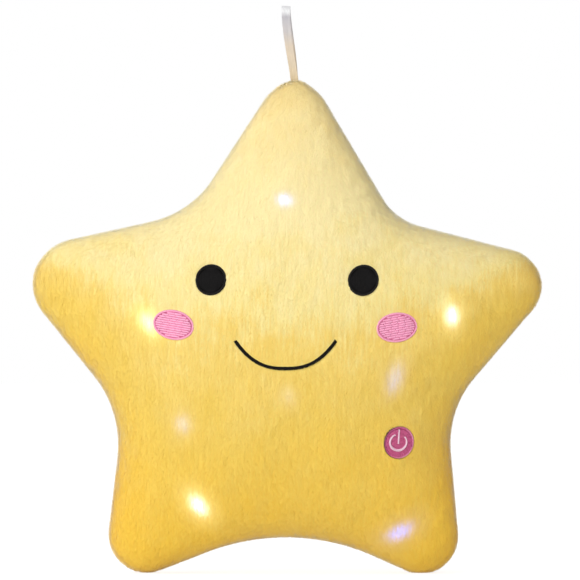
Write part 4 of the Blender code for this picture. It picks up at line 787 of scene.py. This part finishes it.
def grow(name, places, faces, count, seed, bare, bands):
    """Pile on a skin: tapered fibres that stand up, bend over and lie down along the nap."""
    rng = np.random.default_rng(seed)
    normals = vertex_normals(places, faces)
    corner = places[faces]
    area = np.linalg.norm(np.cross(corner[:, 1] - corner[:, 0], corner[:, 2] - corner[:, 0]), axis=1)
    chosen = rng.choice(len(faces), count, p=area / area.sum())
    first, second = rng.random(count), rng.random(count)
    over = first + second > 1
    first[over], second[over] = 1 - first[over], 1 - second[over]
    shares = np.column_stack([1 - first - second, first, second])
    roots = np.einsum("nk,nkd->nd", shares, corner[chosen])
    out = np.einsum("nk,nkd->nd", shares, normals[faces[chosen]])
    out /= np.linalg.norm(out, axis=1)[:, None]
    kept = ~bare(roots)
    roots, out = roots[kept], out[kept]
    order = np.argsort(roots[:, 2], kind="stable")
    roots, out = roots[order], out[order]
    count = len(roots)

    lean = waves(roots, seed + 1, 0.045) * 0.18 + waves(roots, seed + 2, 0.0060, stretch=(1, 1, 3)) * 0.06
    lean += rng.normal(0, 0.20, count)
    lean += np.tanh(roots[:, 0] / 0.015) * np.clip((out[:, 2] - 0.35) / 0.4, 0, 1) * 1.3
    nap = np.column_stack([lean, np.zeros(count), -np.ones(count)])
    nap -= out * (nap * out).sum(1)[:, None]
    length = np.linalg.norm(nap, axis=1)
    weak = length < 0.25
    nap[weak, 1] += 0.5 * np.sign(roots[weak, 1]) * np.sign(out[weak, 2])
    nap -= out * (nap * out).sum(1)[:, None]
    nap /= np.maximum(np.linalg.norm(nap, axis=1), 1e-9)[:, None]
    size = rng.uniform(*FIBRE_LENGTH, count)
    size *= np.where(bare(roots + nap * 0.0030), 0.22, np.where(bare(roots + nap * 0.0042), 0.6, 1.0))
    low = np.radians(rng.uniform(44, 58, count))[:, None]
    high = np.radians(rng.uniform(72, 86, count))[:, None]
    half = size[:, None] / 2
    middle = roots + (out * np.cos(low) + nap * np.sin(low)) * half
    tip = middle + (out * np.cos(high) + nap * np.sin(high)) * half
    side = np.cross(nap, out)
    wide = side * rng.uniform(*FIBRE_HALF_WIDTH, count)[:, None]
    verts = np.stack([roots - wide, roots + wide, middle - wide * 0.8, middle + wide * 0.8, tip], 1)
    verts[:, :, 2] = np.maximum(verts[:, :, 2], FLOOR_GAP)
    ruffle = waves(roots, seed + 3, 0.0042, stretch=(1, 1, 4)) * 0.060 + rng.normal(0, 0.06, count)
    shading = out + side * ruffle[:, None]
    shading /= np.linalg.norm(shading, axis=1)[:, None]
    for band, part in enumerate(np.array_split(np.arange(count), bands), 1):
        blades(f"{name}_{band}", verts[part], shading[part])


def blades(name, verts, shading):
    """One band of the pile: each fibre is a quad with a triangle for its tip, shaded like the skin under it."""
    numbers = np.arange(len(verts))[:, None]
    data = bpy.data.meshes.new(name)
    data.vertices.add(len(verts) * 5)
    data.vertices.foreach_set("co", verts.astype(np.float32).ravel())
    data.loops.add(len(verts) * 7)
    corners = numbers * 5 + np.array((0, 1, 3, 2, 2, 3, 4))
    data.loops.foreach_set("vertex_index", corners.astype(np.int32).ravel())
    data.polygons.add(len(verts) * 2)
    starts = numbers * 7 + np.array((0, 4))
    data.polygons.foreach_set("loop_start", starts.astype(np.int32).ravel())
    data.update(calc_edges=True)
    data.shade_smooth()
    data.normals_split_custom_set_from_vertices(np.repeat(shading, 5, axis=0).tolist())
    data.materials.append(nap_yellow)
    obj = put(bpy.data.objects.new(name, data))
    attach(obj, "root")


# Thread work

class Ground:
    """The front skin seen along one direction, for laying thread on it."""

    def __init__(self, origin, across, up, into):
        self.origin, self.across, self.up, self.into = (Vector(v) for v in (origin, across, up, into))

    def at(self, u, v):
        start = self.origin + self.across * u + self.up * v
        point, normal, _, _ = front_tree.ray_cast(start, self.into)
        if normal.dot(self.into) > 0:
            normal = -normal
        return point, normal


class Threads:
    """Strands gathered into one mesh."""

    def __init__(self, ground):
        self.ground, self.verts, self.faces = ground, [], []

    def strand(self, start, end, width, height, lift, steps=7, sides=6, arch=0.6):
        start, end = Vector(start), Vector(end)
        first = len(self.verts)
        places = [self.ground.at(*start.lerp(end, step / steps)) for step in range(steps + 1)]
        for step, (place, normal) in enumerate(places):
            ahead = (places[min(step + 1, steps)][0] - places[max(step - 1, 0)][0]).normalized()
            beside = ahead.cross(normal).normalized()
            share = math.sin(math.pi * (0.06 + 0.88 * step / steps)) ** arch
            middle = place + normal * (lift * share)
            for side in range(sides):
                turn = math.tau * side / sides
                grown = 0.55 + 0.45 * share
                self.verts.append(middle + beside * math.cos(turn) * width / 2 * grown
                                  + normal * math.sin(turn) * height / 2 * grown)
        self.faces += quads(steps + 1, sides, True, first)
        self.faces.append(tuple(first + side for side in reversed(range(sides))))
        last = first + steps * sides
        self.faces.append(tuple(last + side for side in range(sides)))

    def satin_fill(self, centre, width, height, tilt, heading, pitch, lift, seed, inset=0.0, stitch=0.0):
        """Parallel strands that fill an ellipse, heading degrees from across. With a stitch length, each row is
        broken into stitches that shift from row to row."""
        rng = np.random.default_rng(seed)
        a, b = width / 2 - inset, height / 2 - inset
        turn = math.radians(heading - tilt)
        direction, normal = Vector((math.cos(turn), math.sin(turn))), Vector((-math.sin(turn), math.cos(turn)))
        reach = math.hypot(a * normal.x, b * normal.y)
        turned = Matrix.Rotation(math.radians(tilt), 2)
        rows = int(2 * reach / pitch)
        for row in range(rows):
            offset = (row + 0.5) / rows * 2 * reach - reach
            root = normal * offset
            qa = (direction.x / a) ** 2 + (direction.y / b) ** 2
            qb = 2 * (root.x * direction.x / a / a + root.y * direction.y / b / b)
            qc = (root.x / a) ** 2 + (root.y / b) ** 2 - 1
            inside = qb * qb - 4 * qa * qc
            if inside <= 0:
                continue
            low, high = ((-qb - math.sqrt(inside)) / (2 * qa), (-qb + math.sqrt(inside)) / (2 * qa))
            low += rng.uniform(0, 0.0003)
            high -= rng.uniform(0, 0.0003)
            if high - low < 0.0008:
                continue
            cuts = [low, high]
            if stitch:
                shift = rng.random()
                inner = [(k + shift) * stitch for k in range(-12, 12)]
                cuts = [low] + [c for c in inner if low + 0.0009 < c < high - 0.0009] + [high]
            for first, last in zip(cuts, cuts[1:]):
                start = Vector(centre) + turned @ (root + direction * first)
                end = Vector(centre) + turned @ (root + direction * last)
                steps = max(4, int((last - first) / (0.0008 if stitch else 0.0017)))
                wide, high_share = (1.0, 0.95) if stitch else (1.22, 1.1)
                self.strand(start, end, pitch * wide, pitch * high_share, lift * rng.uniform(0.92, 1.06), steps,
                            arch=0.12 if stitch else 0.6)

    def satin_line(self, path, width, pitch, lift, height, seed, slant=0.25):
        """Short strands laid side by side across a path."""
        rng = np.random.default_rng(seed)
        path = [Vector(p) for p in path]
        run = np.concatenate([[0], np.cumsum([(b - a).length for a, b in zip(path, path[1:])])])
        count = int(run[-1] / pitch)
        for number in range(count):
            far = (number + 0.5) / count * run[-1]
            index = int(np.searchsorted(run, far)) - 1
            share = (far - run[index]) / (run[index + 1] - run[index])
            place = path[index].lerp(path[index + 1], share)
            ahead = (path[index + 1] - path[index]).normalized()
            wide = width(far / run[-1]) if callable(width) else width
            across = (Vector((-ahead.y, ahead.x)) + ahead * slant).normalized() * wide / 2
            across *= rng.uniform(0.94, 1.05)
            self.strand(place - across, place + across, pitch * 1.3, height, lift, 5, 6, 0.5)

    def ready(self, name, material, body, node):
        obj = piece(name, self.verts, self.faces, material, body)
        if node:
            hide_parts(node)


face_ground = Ground((0, -0.5, 0), (1, 0, 0), (0, 0, 1), (0, 1, 0))
patch_across = Vector((0, 0, 1)).cross(PATCH_NORMAL).normalized()
patch_up = PATCH_NORMAL.cross(patch_across)
patch_ground = Ground(PATCH_POINT + PATCH_NORMAL * 0.05, patch_across, patch_up, -PATCH_NORMAL)


def oval(centre, width, height, tilt, points=96):
    turned = Matrix.Rotation(math.radians(tilt), 2)
    return [Vector(centre) + turned @ Vector((width / 2 * math.cos(t), height / 2 * math.sin(t)))
            for t in np.linspace(0, math.tau, points + 1)]


def on_face(name, material, node, slot, laid, *measures):
    """One piece of the face's embroidery: the way it is laid is one of Threads's, and the rest are its measures."""
    threads = Threads(face_ground)
    laid(threads, *measures)
    threads.ready(name, material, "root", node)


def make_face():
    fill, line = Threads.satin_fill, Threads.satin_line
    for number, (name, centre) in enumerate(EYES.items()):
        on_face(name + "_underlay", thread_black, None, "eye_thread",
                fill, centre, 0.0196, 0.0188, 45, 0, 0.00060, 0.0007, 25 + number)
        on_face(name + "_fill", thread_black, name, "eye_thread",
                fill, centre, 0.0212, 0.0204, 45, 90, 0.00042, 0.0013, 20 + number, 0.0013)
        on_face(name + "_edge", thread_black_edge, None, "eye_thread",
                line, oval(centre, 0.0194, 0.0186, 45), 0.0017, 0.00042, 0.0015, 0.0006, 30 + number)
    for number, (name, (x, z, tilt)) in enumerate(CHEEKS.items()):
        on_face(name + "_underlay", thread_rose, None, "cheek_thread",
                fill, (x, z), 0.0262, 0.0184, tilt, tilt + 3, 0.00060, 0.0007, 45 + number)
        on_face(name + "_fill", thread_pink, name, "cheek_thread",
                fill, (x, z), 0.0274, 0.0196, tilt, tilt + 3, 0.00142, 0.0010, 40 + number, 0.0017, 0.0046)
        on_face(name + "_edge", thread_pink, None, "cheek_thread",
                line, oval((x, z), 0.0260, 0.0182, tilt), 0.0015, 0.00044, 0.0012, 0.0006, 50 + number)
        # A darker rose strand in the groove between fill and edge, as painted shade of that groove.
        on_face(name + "_groove_shade", thread_rose, None, "cheek_thread",
                line, oval((x, z), 0.0242, 0.0164, tilt), 0.0005, 0.00044, 0.0013, 0.0005, 55 + number)
    smile = [(MOUTH[0] + along * MOUTH_HALF, MOUTH[1] + MOUTH_RISE * abs(along) ** MOUTH_BEND)
             for along in np.linspace(-1, 1, 81)]
    on_face("mouth_line", thread_black, "mouth", "eye_thread", line, smile, 0.0024, 0.00044, 0.0014, 0.0008, 60)


def make_patch():
    fill = Threads(patch_ground)
    fill.satin_fill((0, 0), 0.0200, 0.0200, 0, 90, 0.00080, 0.0012, 70, 0.0007, 0.0036)
    fill.ready("patch_fill", thread_deep, "button", "power_patch")
    rim = Threads(patch_ground)
    rim.satin_line(oval(RIM_CENTRE, RIM_WIDTH, RIM_HEIGHT, RIM_TILT), RIM_THREAD, 0.00042, 0.0012, 0.0006, 71)
    rim.ready("patch_rim", thread_rim, "button", None)
    sign = Threads(patch_ground)
    centre = Vector((-0.0008, 0.0005))
    turns = np.radians(np.linspace(44, -246, 60))
    arc = [centre + Vector((0.0057 * math.cos(t), 0.0054 * math.sin(t))) for t in turns]
    sign.satin_line(arc, lambda far: 0.0013 + 0.0008 * math.sin(math.pi * far) ** 2, 0.00040, 0.0020, 0.0006, 72)
    bar = [Vector((-0.0005, 0.0090)), Vector((-0.0006, 0.0044)), Vector((-0.0007, -0.0005))]
    sign.satin_line(bar, 0.0013, 0.00040, 0.0020, 0.0006, 73)
    sign.ready("patch_sign", thread_pale, "button", None)
    pad_verts = []
    steps, rings = 48, ((0.99, -0.0011), (1.0, -0.0003), (0.97, 0.0002), (0.75, 0.0003), (0.4, 0.0003))
    for reach, height in rings:
        for turn in np.linspace(0, math.tau, steps, endpoint=False):
            radius = (PATCH_RADIUS - 0.0004) * reach
            place, normal = patch_ground.at(radius * math.cos(turn), radius * math.sin(turn))
            pad_verts.append(place + normal * height)
    place, normal = patch_ground.at(0, 0)
    pad_verts += [place + normal * 0.0003, place - normal * 0.0011]
    pad_faces = list(quads(len(rings), steps, True))
    last = (len(rings) - 1) * steps
    for number in range(steps):
        following = (number + 1) % steps
        pad_faces.append((last + number, last + following, len(pad_verts) - 2))
        pad_faces.append((following, number, len(pad_verts) - 1))
    pad = piece("patch_base", pad_verts, pad_faces, thread_deep, "button")


# The ribbon loop

LOOP_LOW, LOOP_HEIGHT, LOOP_SPREAD = 0.3296, 0.0490, 0.0138
LEAN = np.polynomial.Polynomial((0.00535, -0.00601, -0.00753, 0.00757))


def ribbon_at(turn):
    """Where the loop's middle line is, from its front end round the fold to its back end."""
    up = math.sin(turn / 2) ** 2
    spread = 1.3 * math.sin(turn) * up ** 0.6 * LOOP_SPREAD / 2
    return up, -spread, LOOP_LOW - 0.0035 + (LOOP_HEIGHT + 0.0031) * up


def make_ribbon():
    """Satin ribbon folded over: front strand, fold and back strand, with a slight curl."""
    steps, columns = 120, 12
    verts = []
    for step in range(steps + 1):
        turn = math.tau * step / steps
        up, y, z = ribbon_at(turn)
        back = 1 if turn > math.pi else -1
        lean = LEAN(up)
        aside = 0.0009 * max(0, math.sin(math.pi * (up - 0.12) / 0.84)) if turn > math.pi else 0.0
        _, next_y, next_z = ribbon_at(math.tau * (step + 0.3) / steps)
        dy, dz = next_y - y, next_z - z
        ahead = Vector((0, dy, dz)).normalized() if abs(dy) + abs(dz) > 1e-9 else Vector((0, 0, 1))
        out = Vector((1, 0, 0)).cross(ahead)
        width = 0.0047 + 0.0013 * up ** 0.8 + (0.0003 if turn > math.pi else 0.0) * (1 - up)
        for column in range(columns + 1):
            share = 2 * column / columns - 1
            curl = (0.0007 * (1 - up) ** 2 + 0.00012) * share * share * back
            ripple = 0.00006 * math.sin(34 * up + 2.2 * share)
            x = lean + aside + share * width / 2
            verts.append(Vector((x, y, z)) + out * (ripple - curl * 0.6))
    obj = piece("ribbon_loop", verts, list(quads(steps + 1, columns + 1, False)), satin, "loop")
    thick = obj.modifiers.new("ribbon", "SOLIDIFY")
    thick.thickness = 0.00028
    thick.offset = 0
    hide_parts("hanging_loop")


# Zip tapes, pouch and stuffing

def refined(name, node, voxel, push, wavelength, seed, material, smooth_steps=0):
    """A finer copy of a soft CAD solid, remeshed, gently uneven and clear of the skin's seam, which stands for it."""
    obj = put(bpy.data.objects.new(name, nodes[node].data.copy()))
    bpy.context.view_layer.objects.active = obj
    if voxel:
        remesh = obj.modifiers.new("voxels", "REMESH")
        remesh.mode = "VOXEL"
        remesh.voxel_size = voxel
        bpy.ops.object.modifier_apply(modifier="voxels")
    if smooth_steps:
        eased = obj.modifiers.new("eased", "SMOOTH")
        eased.iterations = smooth_steps
        bpy.ops.object.modifier_apply(modifier="eased")
    places = np.array([v.co for v in obj.data.vertices])
    normals = np.array([v.normal for v in obj.data.vertices])
    places -= normals * (abs(waves(places, seed, wavelength)) * push + 0.6 * push)[:, None]
    if push:
        seam = np.clip(1 - (places[:, 0] / 0.0075) ** 2, 0, 1) ** 2 * (places[:, 1] > 0.004)
        places[:, 1] -= 0.0036 * seam
    obj.data.vertices.foreach_set("co", places.astype(np.float32).ravel())
    obj.data.materials.clear()
    obj.data.materials.append(material)
    obj.data.shade_smooth()
    obj.data.update()
    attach(obj, "root")
    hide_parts(node)
    return obj


def make_soft_inside():
    stuffing = refined("stuffing", "filling", 0.004, 0.0014, 0.018, 80, fibre.material, 2)
    pouch = refined("pouch", "battery_pouch", 0, 0.0, 0.02, 81, lining)


def make_tapes():
    for side in ("left", "right"):
        node = "zip_tape_" + side
        bm = bmesh.new()
        bm.from_mesh(nodes[node].data)
        bmesh.ops.dissolve_limit(bm, angle_limit=0.01, verts=bm.verts, edges=bm.edges)
        bmesh.ops.triangulate(bm, faces=bm.faces)
        low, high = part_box(node)
        for number in range(1, 40):
            cut(bm, (0, 0, low.z + (high.z - low.z) * number / 40), (0, 0, 1))
        for number in range(1, 8):
            cut(bm, (low.x + (high.x - low.x) * number / 8, 0, 0), (1, 0, 0))
        for vert in bm.verts:
            vert.co.y += 0.00006 * math.sin(vert.co.z * 900) * math.cos(vert.co.x * 500)
        data = bpy.data.meshes.new("tape_" + side)
        bm.to_mesh(data)
        bm.free()
        data.materials.append(tape)
        obj = put(bpy.data.objects.new("tape_" + side, data))
        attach(obj, "root")
        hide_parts(node)


# Light, floor and camera

def make_stage():
    scene = bpy.context.scene
    scene.view_settings.view_transform = "Standard"
    camera = bpy.data.cameras.new("camera")
    camera.lens = CAMERA_LENS
    camera.sensor_width = 36.0
    camera.clip_start, camera.clip_end = 0.1, 80.0
    eye = put(bpy.data.objects.new("camera", camera))
    eye.location = CAMERA_PLACE
    eye.rotation_euler = (math.pi / 2, 0, 0)
    scene.camera = eye

    # The world: dimmer towards the right, and white where the camera sees it
    world = bpy.data.worlds.new("studio")
    scene.world = world
    world.use_nodes = True
    tree = world.node_tree
    tree.nodes.clear()
    seen, lit = shader(tree, "Background", (1, 1, 1, 1), 1.0), shader(tree, "Background", (1, 1, 1, 1))
    heading = tree.nodes.new("ShaderNodeSeparateXYZ")
    tree.links.new(tree.nodes.new("ShaderNodeTexCoord").outputs["Generated"], heading.inputs[0])
    level = tree.nodes.new("ShaderNodeMapRange")
    for number, value in enumerate((0.08, 0.7, 0.95, 0.02), 1):
        level.inputs[number].default_value = value
    tree.links.new(heading.outputs[0], level.inputs[0])
    tree.links.new(level.outputs[0], lit.inputs[1])
    seen_apart(tree, "World", lit, seen)

    # The floor: matte for the light, and near white with the object's shadow for the camera
    floor_material = bpy.data.materials.new("floor_white")
    floor_material.use_nodes = True
    tree = floor_material.node_tree
    tree.nodes.clear()
    matte = shader(tree, "BsdfDiffuse", (0.90, 0.90, 0.90, 1))
    pale = shader(tree, "BsdfDiffuse", (0.40, 0.40, 0.40, 1))
    glow = shader(tree, "Emission", (1, 1, 1, 1), 0.78)
    both = tree.nodes.new("ShaderNodeAddShader")
    tree.links.new(pale.outputs[0], both.inputs[0])
    tree.links.new(glow.outputs[0], both.inputs[1])
    seen_apart(tree, "Material", matte, both)
    side = 12.0
    data = bpy.data.meshes.new("floor")
    data.from_pydata([(-side, -side, 0), (side, -side, 0), (side, side, 0), (-side, side, 0)], [], [(0, 1, 2, 3)])
    data.materials.append(floor_material)
    floor = put(bpy.data.objects.new("floor", data))

    for name, place, size, power in STUDIO:
        lamp(name, place, size, power)


def shader(tree, kind, *values):
    made = tree.nodes.new("ShaderNode" + kind)
    for number, value in enumerate(values):
        made.inputs[number].default_value = value
    return made


def seen_apart(tree, kind, usual, direct):
    """One shader for light in general, and another for what the camera sees itself, in gloss or through glass."""
    rays = tree.nodes.new("ShaderNodeLightPath").outputs
    share = rays["Is Camera Ray"]
    for name in ("Is Glossy Ray", "Is Transmission Ray"):
        larger = tree.nodes.new("ShaderNodeMath")
        larger.operation = "MAXIMUM"
        tree.links.new(share, larger.inputs[0])
        tree.links.new(rays[name], larger.inputs[1])
        share = larger.outputs[0]
    mix = tree.nodes.new("ShaderNodeMixShader")
    tree.links.new(share, mix.inputs[0])
    tree.links.new(usual.outputs[0], mix.inputs[1])
    tree.links.new(direct.outputs[0], mix.inputs[2])
    tree.links.new(mix.outputs[0], tree.nodes.new("ShaderNodeOutput" + kind).inputs[0])


def lamp(name, place, size, power):
    light = bpy.data.lights.new(name, "AREA")
    light.shape = "DISK"
    light.size = size
    light.energy = power
    obj = put(bpy.data.objects.new(name, light))
    obj.location = place
    obj.rotation_euler = (LIT_POINT - Vector(place)).to_track_quat("-Z", "Y").to_euler()


make_stage()
dress_cad()
make_front_skin()
make_back_skins()
grow("front_pile", FRONT, FRONT_FACES, FRONT_FIBRES, 101, bare_front, 4)
grow("back_pile", BACK, BACK_FACES, BACK_FIBRES, 111, bare_back, 3)
make_face()
make_patch()
make_ribbon()
make_soft_inside()
make_tapes()

bpy.context.view_layer.update()
